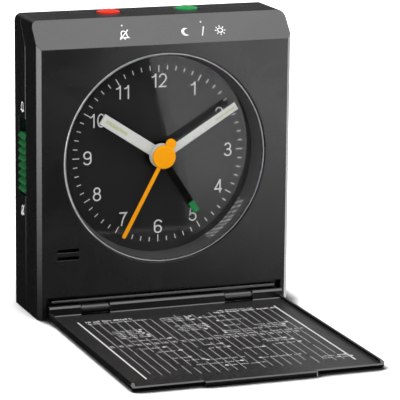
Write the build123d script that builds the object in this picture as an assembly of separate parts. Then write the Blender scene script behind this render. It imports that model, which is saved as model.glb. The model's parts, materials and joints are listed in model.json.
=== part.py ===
from build123d import *
from math import atan2, cos, degrees, hypot, radians, sin
import os

# Folding travel alarm clock, standing open, in millimetres.
# +X is the reader's right, +Y points to the back, +Z is up.
# The origin is the centre of the body's underside, on the table.
# Angles on the dial are clock angles: degrees clockwise from twelve, as the dial is read.

# ---- driving dimensions -------------------------------------------------------------

CASE_WIDTH = 76.0
CASE_HEIGHT = 84.8
CASE_DEPTH = 24.0
WALL = 1.8
FRONT = -CASE_DEPTH / 2
BACK = CASE_DEPTH / 2
BAND_FOOT_Z = 77.4          # the sloped band starts here
BAND_DEPTH = 6.7            # and leans back by this much at the top
FRONT_CHAMFER = 1.2
CORNER_ROUND = 2.0
PARTING_Y = -0.2            # where the two shells meet on the sides
PARTING_BEND_Z = 77.0
PARTING_TOP_Y = 5.6
GROOVE_WIDTH = 0.3
GROOVE_DEPTH = 0.3
PARTING_BEVEL = 0.22         # on the rear shell's edge beside the groove
SOUND_SLOT_X = (-32.3, -25.9)
SOUND_SLOT_Z = (19.75, 17.55)
SOUND_SLOT_HEIGHT = 1.0

DIAL_Z = 44.7               # height of the dial's centre
DIAL_FACE_Y = FRONT + 6.95
DIAL_THICKNESS = 0.8
DIAL_RADIUS = 31.2
DIAL_BORE = 2.6
LENS_RADIUS = 30.1
LENS_HOLE = 30.45
LENS_FRONT_Y = FRONT + 0.1
LENS_THICKNESS = 1.0
LENS_BEVEL = 0.45
FUNNEL_FRONT_RADIUS = 29.5
FUNNEL_BACK_RADIUS = 28.6
FUNNEL_OUTSIDE = 31.6
WINDOW_START = 120.0        # the lamp's window, clock angles
WINDOW_END = 150.0
WINDOW_DEPTH = 3.4

HAND_THICKNESS = 0.4
SECOND_HAND_Y = FRONT + 1.4
MINUTE_HAND_Y = FRONT + 2.7
HOUR_HAND_Y = FRONT + 4.1
ALARM_HAND_Y = FRONT + 5.4
SECOND_AT = 208.2           # where the hands stand at rest, clock angles
MINUTE_AT = 58.6
HOUR_AT = 303.2
ALARM_AT = 146.6
HUB_RADIUS = 3.45
SECOND_LENGTH = 25.4
SECOND_WIDTH = 1.1
SECOND_TAIL = (4.2, 1.55)   # the round tail's distance and radius
ALARM_ARM_LENGTH = 17.3     # the black arm, then the green tip
ALARM_LENGTH = 20.8
ALARM_WIDTH = 1.9
ALARM_HUB_RADIUS = 4.1

HINGE_Y = FRONT - 0.9       # the cover turns about this line
HINGE_Z = 2.75
KNUCKLE_RADIUS = 1.35
PIN_RADIUS = 0.6
KNUCKLE_FROM = 17.7
KNUCKLE_TO = 25.8
KNUCKLE_ARM_HALF = 1.1       # half the height of the arm that carries a knuckle
PIN_REACH = 4.5              # how far a pin goes into the cover at each end
HINGE_GAP = 0.3
BAR_THICKNESS = 0.6
BAR_FOOT_Z = 0.6
RECESS_HALF = 35.7
RECESS_TOP = 6.45
RECESS_BACK_Y = FRONT + 2.8
COVER_HALF = 35.7
COVER_THICKNESS = 1.5
COVER_FRONT_Y = FRONT - 75.2
COVER_WALL_TOP = 4.2
COVER_WALL_FRONT_Y = FRONT - 2.5
COVER_WALL_BEVEL = 0.5
COVER_WALL_FOOT = 0.25       # bevel where the wall stands on the sheet
COVER_WALL_HALF = 35.35
COVER_UNDERCUT = 1.1         # bevel under the cover's front edge
COVER_SIDE_UNDERCUT = 0.7    # and under its sides
COVER_FRONT_BEVEL = 0.35     # bevel on top of its front edge
COVER_CORNER = 0.8
RIM_HEIGHT = 0.8
RIM_WIDTH = 1.1
RIM_BEVEL = 0.45
RAIL_Y = FRONT + 1.35        # centre of the quarter-round rail above the hinge
RAIL_Z = 4.55
RAIL_RADIUS = 1.0
RAIL_END_GAP = 1.8
TAB_HALF = 15.8
TAB_REACH = 1.2
TAB_BEVEL = 0.3
TAB_END_BEVEL = 0.2

SLIDER_SLOT_Y = (-0.7, 6.4)
SLIDER_SLOT_Z = (33.6, 55.9)
RIB_COUNT = 8
RIB_PITCH = 2.2
RIB_ROOT_X = -CASE_WIDTH / 2 + 0.5
RIB_TIP_X = -CASE_WIDTH / 2 - 0.3
RIB_TIP_SPAN = (0.45, 0.55)  # where the tip lies, as shares of the pitch

BUTTON_X = 11.8
BUTTON_Y = 4.6
BUTTON_RADIUS = 3.4
BUTTON_HOLE = 3.6
BUTTON_PROUD = 0.85
BUTTON_DOME = 0.65           # height of the domed part of the cap
DISH_RADIUS = 4.6
DISH_DEPTH = 0.9

PLATE_FRONT_Y = (DIAL_FACE_Y + DIAL_THICKNESS, -3.3)    # the movement's front plate
PLATE_BACK_Y = (5.2, 6.2)                                # and its rear plate
PIVOT_RADIUS = 0.3
RUNNING_GAP = 0.05
KNOB_X = 11.5               # the setting knobs, left and right of the dial's centre line
KNOB_DROP = 8.0             # and below the dial's centre
KNOB_RADIUS = 5.5
KNOB_FLUTES = 24
KNOB_SHAFT_RADIUS = 1.0
KNOB_Y = (8.8, 11.6)
POCKET_FLOOR_Y = (6.8, 8.5)

BATTERY_RADIUS = 5.25
BATTERY_LENGTH = 44.5
BATTERY_Y = 4.4
BATTERY_Z = 12.55
BAY_HALF = 25.2
BAY_Z = (6.5, 18.6)
BAY_WALL = 1.1

# Tooth counts: driver and driven wheel of each mesh.
ROTOR_TEETH, STEP_TEETH = 8, 48
STEP_PINION, SECOND_TEETH = 10, 50
SECOND_PINION, THIRD_TEETH = 8, 60
THIRD_PINION, CENTRE_TEETH = 8, 64
CANNON_TEETH, MOTION_TEETH = 12, 36
MOTION_PINION, HOUR_TEETH = 10, 40
KNOB_TEETH = 12
ALARM_TEETH, IDLER_TEETH = 40, 30

DIAL_CENTRE = (0.0, DIAL_Z)


# ---- small helpers -------------------------------------------------------------------

def block(x, y, z):
    """A box from its lowest and highest x, y and z."""
    size = [high - low for low, high in (x, y, z)]
    middle = [(high + low) / 2 for low, high in (x, y, z)]
    return Pos(*middle) * Box(*size)


def facing(point, y):
    """A plane that looks to the back, so its angles run clockwise as the dial is read."""
    return Plane(origin=(point[0], y, point[1]), x_dir=(1, 0, 0), z_dir=(0, 1, 0))


def disc(point, radius, y_from, y_to):
    return facing(point, y_from) * extrude(Circle(radius), y_to - y_from)


def ring(point, outer, inner, y_from, y_to):
    return disc(point, outer, y_from, y_to) - disc(point, inner, y_from, y_to)


def side_prism(points, half_width):
    """An outline of (y, z) points, as wide as twice half_width about x = 0."""
    outline = Plane.YZ * make_face(Polyline(*points, close=True))
    return extrude(outline, half_width, both=True)


def on_dial(radius, clock_angle, centre=DIAL_CENTRE):
    """The (x, z) point at a radius and a clock angle from a centre."""
    angle = radians(clock_angle)
    return (centre[0] + radius * sin(angle), centre[1] + radius * cos(angle))


def clock_angle_of(start, end):
    return degrees(atan2(end[0] - start[0], end[1] - start[1]))


def upright(point, radius, z_from, z_to):
    return Pos(point[0], point[1], z_from) * extrude(Circle(radius), z_to - z_from)


def along_x(y, z, radius, x_from, x_to):
    plane = Plane(origin=(x_from, y, z), x_dir=(0, 1, 0), z_dir=(1, 0, 0))
    return plane * extrude(Circle(radius), x_to - x_from)


def turned(profile_points):
    """A solid turned about the dial's axis from (radius, y) points."""
    plane = Plane(origin=(0, 0, DIAL_Z), x_dir=(1, 0, 0), z_dir=(0, 0, 1))
    outline = plane * make_face(Polyline(*profile_points, close=True))
    return revolve(outline, Axis((0, 0, DIAL_Z), (0, 1, 0)))


# ---- gears -----------------------------------------------------------------------------

TIP_HEIGHT = 0.8            # in modules
ROOT_DEPTH = 1.25
ROOT_SHARE = 0.21           # half a tooth, as a share of the pitch
TIP_SHARE = 0.08


def gear(point, teeth, module, y_from, y_to, tooth_at):
    """A straight-flanked wheel with one tooth at the clock angle tooth_at."""
    root = module * (teeth / 2 - ROOT_DEPTH)
    tip = module * (teeth / 2 + TIP_HEIGHT)
    corners = []
    for index in range(teeth):
        for radius, share in ((root, -ROOT_SHARE), (tip, -TIP_SHARE), (tip, TIP_SHARE), (root, ROOT_SHARE)):
            angle = radians(tooth_at - 90 + (index + share) * 360 / teeth)
            corners.append((radius * cos(angle), radius * sin(angle)))
    outline = make_face(Polyline(*corners, close=True))
    return facing(point, y_from) * extrude(outline, y_to - y_from)


def meshing(point, teeth, tooth_at, other_point, other_teeth):
    """The clock angle of a tooth on the other wheel that fits between this wheel's teeth."""
    line = clock_angle_of(point, other_point)
    share = (line - tooth_at) * teeth / 360
    return line + 180 - (0.5 - share) * 360 / other_teeth


def third_corner(start, end, from_start, from_end):
    """The point at the given distances from two (x, z) points, above the line between them."""
    span = hypot(end[0] - start[0], end[1] - start[1])
    along = (from_start ** 2 + span ** 2 - from_end ** 2) / (2 * span)
    off = (from_start ** 2 - along ** 2) ** 0.5
    ux, uz = (end[0] - start[0]) / span, (end[1] - start[1]) / span
    sign = 1 if ux > 0 else -1
    return (start[0] + ux * along - uz * off * sign, start[1] + uz * along + ux * off * sign)


def spacing(first, second, module):
    return (first + second) * module / 2


def module_for(first, second, distance):
    return 2 * distance / (first + second)


# Modules, arbor places and tooth phases of the trains.
ROTOR_MODULE = 0.2
STEP_MODULE = 0.25
THIRD_MODULE = 0.25
MOTION_MODULE = 0.3
KNOB_MODULE = 0.3
ALARM_MODULE = 0.3
THIRD_DISTANCE = spacing(SECOND_PINION, THIRD_TEETH, THIRD_MODULE)
CENTRE_MODULE = module_for(THIRD_PINION, CENTRE_TEETH, THIRD_DISTANCE)
MOTION_DISTANCE = spacing(CANNON_TEETH, MOTION_TEETH, MOTION_MODULE)
HOUR_MODULE = module_for(MOTION_PINION, HOUR_TEETH, MOTION_DISTANCE)

THIRD_POINT = on_dial(THIRD_DISTANCE, 330)
STEP_POINT = on_dial(spacing(STEP_PINION, SECOND_TEETH, STEP_MODULE), 90)
ROTOR_POINT = on_dial(spacing(ROTOR_TEETH, STEP_TEETH, ROTOR_MODULE), 60, STEP_POINT)
TIME_KNOB_POINT = (KNOB_X, DIAL_Z - KNOB_DROP)
ALARM_KNOB_POINT = (-KNOB_X, DIAL_Z - KNOB_DROP)
MOTION_POINT = third_corner(
    DIAL_CENTRE, TIME_KNOB_POINT, MOTION_DISTANCE, spacing(MOTION_TEETH, KNOB_TEETH, KNOB_MODULE))
IDLER_POINT = third_corner(
    DIAL_CENTRE, ALARM_KNOB_POINT,
    spacing(ALARM_TEETH, IDLER_TEETH, ALARM_MODULE), spacing(IDLER_TEETH, KNOB_TEETH, ALARM_MODULE))

# Layers along Y, from the dial to the back.
ALARM_LAYER = (-2.9, -2.3)
HOUR_LAYER = (-1.9, -1.2)
MOTION_LAYER = (-0.7, 0.1)
CENTRE_LAYER = (0.8, 1.4)
STEP_LAYER = (2.0, 2.5)
THIRD_LAYER = (2.9, 3.5)
SECOND_LAYER = (4.2, 4.8)
PINION_OVERLAP = 0.15       # how far a pinion reaches past the wheel it drives


def wide(layer):
    return (layer[0] - PINION_OVERLAP, layer[1] + PINION_OVERLAP)


# Coaxial tubes at the dial's centre, inside and outside radius.
SECOND_ARBOR = 0.35
CANNON_BORE, CANNON_TUBE = SECOND_ARBOR + RUNNING_GAP, 0.9
HOUR_BORE, HOUR_TUBE = CANNON_TUBE + RUNNING_GAP, 1.45
ALARM_BORE, ALARM_TUBE = HOUR_TUBE + RUNNING_GAP, 2.0


# ---- case --------------------------------------------------------------------------------

CASE_PROFILE = [
    (FRONT, 0.0), (FRONT, BAND_FOOT_Z), (FRONT + BAND_DEPTH, CASE_HEIGHT), (BACK, CASE_HEIGHT), (BACK, 0.0)]

SCREW_POSTS = [(-33.0, 79.0), (33.0, 79.0), (-33.2, 6.8), (33.2, 6.8)]
HANGER_POSTS = [(-29.5, 72.0), (29.5, 72.0), (0.0, 9.9)]
POST_RADIUS = 2.5
POST_ROOT_Y = FRONT + 1      # the posts start inside the front wall
PILOT_FROM_Y = FRONT + 3.5   # and their holes start here
SCREW_RADIUS = 1.0
SCREW_TIP_Y = -6.5
SCREW_HEAD = 1.9
SCREW_HEAD_HEIGHT = 1.2
SCREW_SLOT_DEPTH = 0.5
SCREW_SLOT_HALF = (1.3, 0.22)
HEAD_SEAT_Y = 10.4
HANGER_POST_RADIUS = 2.2
HANGER_SCREW_RADIUS = 0.8


def inner_space(inset):
    """The case's outline drawn in by an inset on every side, with sharp corners."""
    outline = offset(make_face(Polyline(*CASE_PROFILE, close=True)), -inset, kind=Kind.INTERSECTION)
    return extrude(Plane.YZ * outline, CASE_WIDTH / 2 - inset, both=True)


def outer_block():
    body = side_prism(CASE_PROFILE, CASE_WIDTH / 2)
    fronts = body.edges().filter_by(Axis.Z).group_by(Axis.Y)[0]
    body = chamfer(fronts, FRONT_CHAMFER)
    backs = body.edges().group_by(Axis.Y)[-1].filter_by(lambda edge: edge.center().Z > 1)
    tops = body.edges().filter_by(Axis.Y).group_by(Axis.Z)[-1]
    return fillet(list(backs) + list(tops), CORNER_ROUND)


def rear_region(shift=0.0):
    """Everything behind the parting line, moved back by shift."""
    beyond = 30.0
    return side_prism([
        (PARTING_Y + shift, -beyond), (PARTING_Y + shift, PARTING_BEND_Z),
        (PARTING_TOP_Y + shift, CASE_HEIGHT), (PARTING_TOP_Y + shift, CASE_HEIGHT + beyond),
        (BACK + beyond, CASE_HEIGHT + beyond), (BACK + beyond, -beyond)], CASE_WIDTH)


def parting_groove():
    slab = rear_region(-GROOVE_WIDTH / 2) - rear_region(GROOVE_WIDTH / 2)
    return slab - inner_space(GROOVE_DEPTH)


def parting_bevels():
    """Square bars that bevel the rear shell's side edges where they meet the groove."""
    y = PARTING_Y + GROOVE_WIDTH / 2
    corners = [(y, -1.0), (y, PARTING_BEND_Z), (PARTING_TOP_Y + GROOVE_WIDTH / 2, CASE_HEIGHT)]
    side = PARTING_BEVEL * hypot(1, 1)
    bars = []
    for start, end in zip(corners, corners[1:]):
        along = (end[0] - start[0], end[1] - start[1])
        length = hypot(*along)
        for x in (-CASE_WIDTH / 2, CASE_WIDTH / 2):
            plane = Plane(origin=(x, start[0], start[1]), x_dir=(1, 0, 0), z_dir=(0, along[0], along[1]))
            bars.append(plane * Pos(0, 0, length / 2) * Rot(0, 0, 45) * Box(side, side, length))
    return bars


def button_openings():
    cuts = []
    for x in (-BUTTON_X, BUTTON_X):
        cuts.append(upright((x, BUTTON_Y), BUTTON_HOLE, CASE_HEIGHT - 2 * WALL, CASE_HEIGHT + 1))
        dish = Cone(BUTTON_HOLE, DISH_RADIUS, DISH_DEPTH)
        cuts.append(Pos(x, BUTTON_Y, CASE_HEIGHT - DISH_DEPTH / 2) * dish)
    return cuts


def slider_opening():
    return block((-CASE_WIDTH / 2 - 1, -CASE_WIDTH / 2 + WALL + 0.1), SLIDER_SLOT_Y, SLIDER_SLOT_Z)


def hinge_recess(grow=0.0):
    return block((-RECESS_HALF - grow, RECESS_HALF + grow), (FRONT - 1, RECESS_BACK_Y + grow),
                 (-1, RECESS_TOP + grow))


def sound_slots():
    cuts = []
    half = SOUND_SLOT_HEIGHT / 2
    for z in SOUND_SLOT_Z:
        cuts.append(block(SOUND_SLOT_X, (FRONT - 1, FRONT + WALL + 0.1), (z - half, z + half)))
    return cuts


def front_shell(skin):
    shell = skin - rear_region()
    for x, z in SCREW_POSTS:
        post = disc((x, z), POST_RADIUS, POST_ROOT_Y, PARTING_Y - 0.4)
        post -= disc((x, z), SCREW_RADIUS + 0.02, PILOT_FROM_Y, BACK)
        shell += post & inner_space(0.6)
    for x, z in HANGER_POSTS:
        post = disc((x, z), HANGER_POST_RADIUS, POST_ROOT_Y, PLATE_FRONT_Y[0])
        shell += post - disc((x, z), HANGER_SCREW_RADIUS + 0.02, PILOT_FROM_Y, BACK)
    shell -= hinge_recess()
    shell -= disc(DIAL_CENTRE, LENS_HOLE, FRONT - 1, FRONT + WALL + 0.1)
    for cut in sound_slots() + button_openings() + [slider_opening(), parting_groove()]:
        shell -= cut
    return shell


def knob_pocket(grow, y_from, y_to):
    half = KNOB_X + KNOB_RADIUS + 1.0 + grow
    tall = KNOB_RADIUS + 1.5 + grow
    return facing((0, DIAL_Z - KNOB_DROP), y_from) * extrude(SlotOverall(2 * half, 2 * tall), y_to - y_from)


def battery_bay_walls():
    outer = block((-BAY_HALF - BAY_WALL, BAY_HALF + BAY_WALL), (-2.2, BACK - 1),
                  (BAY_Z[0] - BAY_WALL, BAY_Z[1] + BAY_WALL))
    inner = block((-BAY_HALF, BAY_HALF), (-2.2 + BAY_WALL, BACK + 1), BAY_Z)
    return outer - inner


def rear_shell(skin):
    shell = skin & rear_region()
    for x, z in SCREW_POSTS:
        shell += disc((x, z), POST_RADIUS, PARTING_Y + 2.2, BACK - 1) & inner_space(0.6)
    shell += battery_bay_walls()
    shell += knob_pocket(1.5, POCKET_FLOOR_Y[0], BACK - 0.5)
    shell -= knob_pocket(0.0, POCKET_FLOOR_Y[1], BACK + 1)
    for point in (TIME_KNOB_POINT, ALARM_KNOB_POINT):
        shell -= disc(point, KNOB_SHAFT_RADIUS + RUNNING_GAP, POCKET_FLOOR_Y[0] - 1, BACK)
    shell -= block((-BAY_HALF, BAY_HALF), (BACK - 2.5, BACK + 1), BAY_Z)
    for side in (-1, 1):
        for z in ((BAY_Z[0] - 0.3, BAY_Z[0] + 0.8), (BAY_Z[1] - 0.8, BAY_Z[1] + 0.3)):
            shell += block(sorted((side * 19.0, side * (BAY_HALF + 0.3))), (BACK - 2.8, BACK - 1.9), z)
    for x, z in SCREW_POSTS:
        shell -= disc((x, z), SCREW_RADIUS + 0.15, PARTING_Y, BACK + 1)
        shell -= disc((x, z), SCREW_HEAD + 0.2, HEAD_SEAT_Y, BACK + 1)
    for cut in button_openings() + parting_bevels() + [slider_opening(), parting_groove()]:
        shell -= cut
    return shell


def case_screws():
    screws = []
    for x, z in SCREW_POSTS:
        head_top = HEAD_SEAT_Y + SCREW_HEAD_HEIGHT
        head = disc((x, z), SCREW_HEAD, HEAD_SEAT_Y, head_top)
        for half_x, half_z in (SCREW_SLOT_HALF, SCREW_SLOT_HALF[::-1]):
            slot_y = (head_top - SCREW_SLOT_DEPTH, BACK)
            head -= block((x - half_x, x + half_x), slot_y, (z - half_z, z + half_z))
        screws.append(head + disc((x, z), SCREW_RADIUS, SCREW_TIP_Y, HEAD_SEAT_Y))
    return Compound(children=screws)


# ---- dial, lens and hands ------------------------------------------------------------------

def lens():
    glass = disc(DIAL_CENTRE, LENS_RADIUS, LENS_FRONT_Y, LENS_FRONT_Y + LENS_THICKNESS)
    return chamfer(glass.edges().group_by(Axis.Y)[0], LENS_BEVEL)


def window_piece(inner, outer, y_from, y_to):
    """An arc of a ring between the window's two clock angles."""
    start, end = WINDOW_START - 90, WINDOW_END - 90
    sector = make_face(Polyline(
        (0, 0), *[(60 * cos(radians(a)), 60 * sin(radians(a))) for a in (start, (start + end) / 2, end)],
        close=True))
    wedge = facing(DIAL_CENTRE, y_from) * extrude(sector, y_to - y_from)
    return ring(DIAL_CENTRE, outer, inner, y_from, y_to) & wedge


def funnel_body():
    lip = LENS_FRONT_Y + LENS_THICKNESS
    return turned([
        (FUNNEL_FRONT_RADIUS, lip), (FUNNEL_BACK_RADIUS, DIAL_FACE_Y), (FUNNEL_OUTSIDE, DIAL_FACE_Y),
        (FUNNEL_OUTSIDE, FRONT + WALL), (LENS_RADIUS, FRONT + WALL), (LENS_RADIUS, lip)])


def dial_funnel():
    cut = window_piece(20.0, FUNNEL_OUTSIDE + 1, DIAL_FACE_Y - WINDOW_DEPTH, DIAL_FACE_Y + 0.1)
    return funnel_body() - cut


def light_window():
    arc = window_piece(20.0, FUNNEL_OUTSIDE - 1.2, DIAL_FACE_Y - WINDOW_DEPTH, DIAL_FACE_Y)
    return arc & funnel_body()


def dial():
    return ring(DIAL_CENTRE, DIAL_RADIUS, DIAL_BORE, DIAL_FACE_Y, DIAL_FACE_Y + DIAL_THICKNESS)


def bar(clock_angle, near, far, width, y_from, y_to):
    """A straight bar that points to a clock angle, from one radius to another."""
    along = radians(clock_angle)
    plane = Plane(origin=(0, y_from, DIAL_Z), x_dir=(sin(along), 0, cos(along)), z_dir=(0, 1, 0))
    return plane * Pos((near + far) / 2, 0, (y_to - y_from) / 2) * Box(far - near, width, y_to - y_from)


HOUR_HAND = {"at": HOUR_AT, "y": HOUR_HAND_Y, "length": 21.25, "width": 3.3, "bore": HOUR_TUBE,
             "groove": (12.4, 20.0), "groove_width": 1.0}
MINUTE_HAND = {"at": MINUTE_AT, "y": MINUTE_HAND_Y, "length": 26.0, "width": 2.3, "bore": CANNON_TUBE,
               "groove": (18.6, 25.3), "groove_width": 0.6}
GROOVE_FLOOR = 0.12


def groove(hand):
    near, far = hand["groove"]
    return bar(hand["at"], near, far, hand["groove_width"], hand["y"],
               hand["y"] + HAND_THICKNESS - GROOVE_FLOOR)


def plain_hand(hand):
    """A flat hand: hub disc and bar, with bevelled front edges and a groove for the insert."""
    y = hand["y"]
    shape = disc(DIAL_CENTRE, HUB_RADIUS + 0.1, y, y + HAND_THICKNESS)
    shape += bar(hand["at"], 0, hand["length"], hand["width"], y, y + HAND_THICKNESS)
    shape = chamfer(shape.edges().group_by(Axis.Y)[0], 0.12)
    shape -= disc(DIAL_CENTRE, hand["bore"], y - 1, y + 2)
    return shape - groove(hand)


def hour_hand():
    return plain_hand(HOUR_HAND)


def hour_insert():
    return groove(HOUR_HAND)


def minute_hand():
    return plain_hand(MINUTE_HAND)


def minute_insert():
    return groove(MINUTE_HAND)


def second_hand():
    y = SECOND_HAND_Y
    tail_at, tail_radius = SECOND_TAIL
    tail_point = on_dial(tail_at, SECOND_AT + 180)
    shape = disc(DIAL_CENTRE, HUB_RADIUS - 0.05, y, y + 0.8)
    shape = chamfer(shape.edges().group_by(Axis.Y)[0], 0.2)
    shape += bar(SECOND_AT, 0, SECOND_LENGTH, SECOND_WIDTH, y + 0.15, y + 0.45)
    shape += disc(on_dial(SECOND_LENGTH, SECOND_AT), SECOND_WIDTH / 2, y + 0.15, y + 0.45)
    shape += disc(tail_point, tail_radius, y + 0.05, y + 0.55)
    return shape - disc(DIAL_CENTRE, SECOND_ARBOR, y + 0.3, y + 2)


def alarm_hand():
    y = ALARM_HAND_Y
    shape = disc(DIAL_CENTRE, ALARM_HUB_RADIUS, y, y + HAND_THICKNESS)
    shape += bar(ALARM_AT, 0, ALARM_ARM_LENGTH, ALARM_WIDTH, y, y + HAND_THICKNESS)
    return shape - disc(DIAL_CENTRE, ALARM_TUBE, y - 1, y + 2)


def alarm_tip():
    y = ALARM_HAND_Y
    return bar(ALARM_AT, ALARM_ARM_LENGTH, ALARM_LENGTH, ALARM_WIDTH, y, y + HAND_THICKNESS)


# ---- hinge and cover ---------------------------------------------------------------------------

def hinge_bar():
    plate_y = (RECESS_BACK_Y - BAR_THICKNESS, RECESS_BACK_Y)
    body = block((-RECESS_HALF, RECESS_HALF), plate_y, (BAR_FOOT_Z, RECESS_TOP))
    rail_x = (RAIL_END_GAP - RECESS_HALF, RECESS_HALF - RAIL_END_GAP)
    rail_y = (RAIL_Y - RAIL_RADIUS, RECESS_BACK_Y)
    rail_z = (RAIL_Z, RAIL_Z + RAIL_RADIUS)
    body += along_x(RAIL_Y, RAIL_Z, RAIL_RADIUS, *rail_x) & block(rail_x, rail_y, rail_z)
    body += block(rail_x, (RAIL_Y, RECESS_BACK_Y), rail_z)
    for side in (-1, 1):
        low, high = sorted((side * KNUCKLE_FROM, side * KNUCKLE_TO))
        arm_z = (HINGE_Z - KNUCKLE_ARM_HALF, HINGE_Z + KNUCKLE_ARM_HALF)
        body += block((low, high), (HINGE_Y, RECESS_BACK_Y), arm_z)
        body += along_x(HINGE_Y, HINGE_Z, KNUCKLE_RADIUS, low, high)
        body -= along_x(HINGE_Y, HINGE_Z, PIN_RADIUS, low - 1, high + 1)
    return body


def hinge_pins():
    pins = []
    for side in (-1, 1):
        low, high = sorted((side * (KNUCKLE_FROM - PIN_REACH), side * (KNUCKLE_TO + PIN_REACH)))
        pins.append(along_x(HINGE_Y, HINGE_Z, PIN_RADIUS, low, high))
    return Compound(children=pins)


def cover_rear_wall():
    """The three upright blocks at the cover's rear edge that carry the hinge pins."""
    back_y = HINGE_Y - 0.15
    profile = [
        (COVER_WALL_FRONT_Y - COVER_WALL_FOOT, 0), (COVER_WALL_FRONT_Y - COVER_WALL_FOOT, COVER_THICKNESS),
        (COVER_WALL_FRONT_Y, COVER_THICKNESS + COVER_WALL_FOOT),
        (COVER_WALL_FRONT_Y, COVER_WALL_TOP - COVER_WALL_BEVEL),
        (COVER_WALL_FRONT_Y + COVER_WALL_BEVEL, COVER_WALL_TOP), (back_y, COVER_WALL_TOP), (back_y, 0)]
    inner = KNUCKLE_FROM - HINGE_GAP
    outer = KNUCKLE_TO + HINGE_GAP
    wall = side_prism(profile, inner) + along_x(HINGE_Y, HINGE_Z, KNUCKLE_RADIUS, -inner, inner)
    for low, high in ((-COVER_WALL_HALF, -outer), (outer, COVER_WALL_HALF)):
        wall += Pos((low + high) / 2, 0, 0) * side_prism(profile, (high - low) / 2)
        wall += along_x(HINGE_Y, HINGE_Z, KNUCKLE_RADIUS, low, high)
    return wall


def cover_panel():
    """The cover's sheet and the low rims along its two sides."""
    top = COVER_THICKNESS + RIM_HEIGHT
    right_side = [
        (COVER_HALF - COVER_SIDE_UNDERCUT, 0), (COVER_HALF, COVER_SIDE_UNDERCUT),
        (COVER_HALF, top - RIM_BEVEL), (COVER_HALF - RIM_BEVEL, top),
        (COVER_HALF - RIM_WIDTH, top), (COVER_HALF - RIM_WIDTH, COVER_THICKNESS)]
    left_side = [(-x, z) for x, z in reversed(right_side)]
    section = make_face(Polyline(*right_side, *left_side, close=True))
    length = COVER_WALL_FRONT_Y + 0.5 - COVER_FRONT_Y
    plane = Plane(origin=(0, COVER_FRONT_Y + length, 0), x_dir=(1, 0, 0), z_dir=(0, -1, 0))
    panel = plane * extrude(section, length)
    front_corners = panel.edges().filter_by(Axis.Z).group_by(Axis.Y)[0].sort_by(Axis.X)
    panel = fillet([front_corners[0], front_corners[-1]], COVER_CORNER)
    beyond = 1.0
    front = COVER_FRONT_Y - beyond
    panel -= side_prism([
        (front, -beyond), (front, COVER_UNDERCUT + beyond),
        (COVER_FRONT_Y + COVER_UNDERCUT + beyond, -beyond)], COVER_HALF + beyond)
    return panel - side_prism([
        (front, COVER_THICKNESS - COVER_FRONT_BEVEL - beyond), (front, COVER_THICKNESS + beyond),
        (COVER_FRONT_Y + COVER_FRONT_BEVEL + beyond, COVER_THICKNESS + beyond)], COVER_HALF + beyond)


def cover_tab():
    """The lift tab in the middle of the front edge."""
    tab_y = (COVER_FRONT_Y - TAB_REACH, COVER_FRONT_Y + 2)
    tab = block((-TAB_HALF, TAB_HALF), tab_y, (0, COVER_THICKNESS))
    tab = chamfer(tab.edges().filter_by(Axis.X).group_by(Axis.Y)[0].sort_by(Axis.Z)[-1], TAB_BEVEL)
    ends = tab.edges().filter_by(Axis.Z).group_by(Axis.Y)[0]
    return chamfer(ends, TAB_END_BEVEL)


def cover():
    body = cover_panel() + cover_tab()
    for side in (-1, 1):
        low, high = sorted((side * (KNUCKLE_FROM - HINGE_GAP), side * (KNUCKLE_TO + HINGE_GAP)))
        body -= block((low, high), (COVER_WALL_FRONT_Y - 0.6, FRONT), (-1, COVER_THICKNESS + 1))
    body += cover_rear_wall()
    for side in (-1, 1):
        reach = PIN_REACH + HINGE_GAP
        low, high = sorted((side * (KNUCKLE_FROM - reach), side * (KNUCKLE_TO + reach)))
        body -= along_x(HINGE_Y, HINGE_Z, PIN_RADIUS + RUNNING_GAP, low, high)
    return body


# ---- buttons, slider, battery --------------------------------------------------------------------

FLANGE_TOP = CASE_HEIGHT - WALL - 0.05
FLANGE_RADIUS = 4.3
SWITCH_TOP = 77.2
DOME_HEIGHT = 1.6


def push_button(x):
    """A domed cap with a flange that stops it under the top wall."""
    top = CASE_HEIGHT + BUTTON_PROUD
    stem_end = top - BUTTON_DOME
    body = upright((x, BUTTON_Y), BUTTON_RADIUS, FLANGE_TOP - 1.0, stem_end)
    dome_radius = (BUTTON_RADIUS ** 2 + BUTTON_DOME ** 2) / (2 * BUTTON_DOME)
    ball = Pos(x, BUTTON_Y, top - dome_radius) * Sphere(dome_radius)
    body += ball & upright((x, BUTTON_Y), BUTTON_RADIUS, stem_end - 0.01, top + 1)
    body += upright((x, BUTTON_Y), FLANGE_RADIUS, FLANGE_TOP - 1.0, FLANGE_TOP)
    return body + upright((x, BUTTON_Y), 1.2, SWITCH_TOP + DOME_HEIGHT, FLANGE_TOP - 1.0)


def rubber_dome(x):
    """The sprung rubber cup that pushes a button back up."""
    foot, head = SWITCH_TOP, SWITCH_TOP + DOME_HEIGHT
    plane = Plane(origin=(x, BUTTON_Y, 0), x_dir=(1, 0, 0), z_dir=(0, -1, 0))
    cup = make_face(Polyline(
        (0, head), (1.3, head), (2.6, foot + 0.3), (3.2, foot + 0.3), (3.2, foot), (2.2, foot),
        (1.0, head - 0.4), (0, head - 0.4), close=True))
    return revolve(plane * cup, Axis((x, BUTTON_Y, 0), (0, 0, 1)))


def switch_board():
    board = block((-20, 20), (0.8, 9.6), (SWITCH_TOP - 0.8, SWITCH_TOP))
    for x in (-BUTTON_X, BUTTON_X):
        board += upright((x, BUTTON_Y), 0.8, SWITCH_TOP, SWITCH_TOP + 0.15)
    return board


SLIDER_FACE_X = -CASE_WIDTH / 2 + 2.0
SLIDER_BACK_X = SLIDER_FACE_X + 1.0
GRIP_CLEARANCE = 0.2


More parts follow.
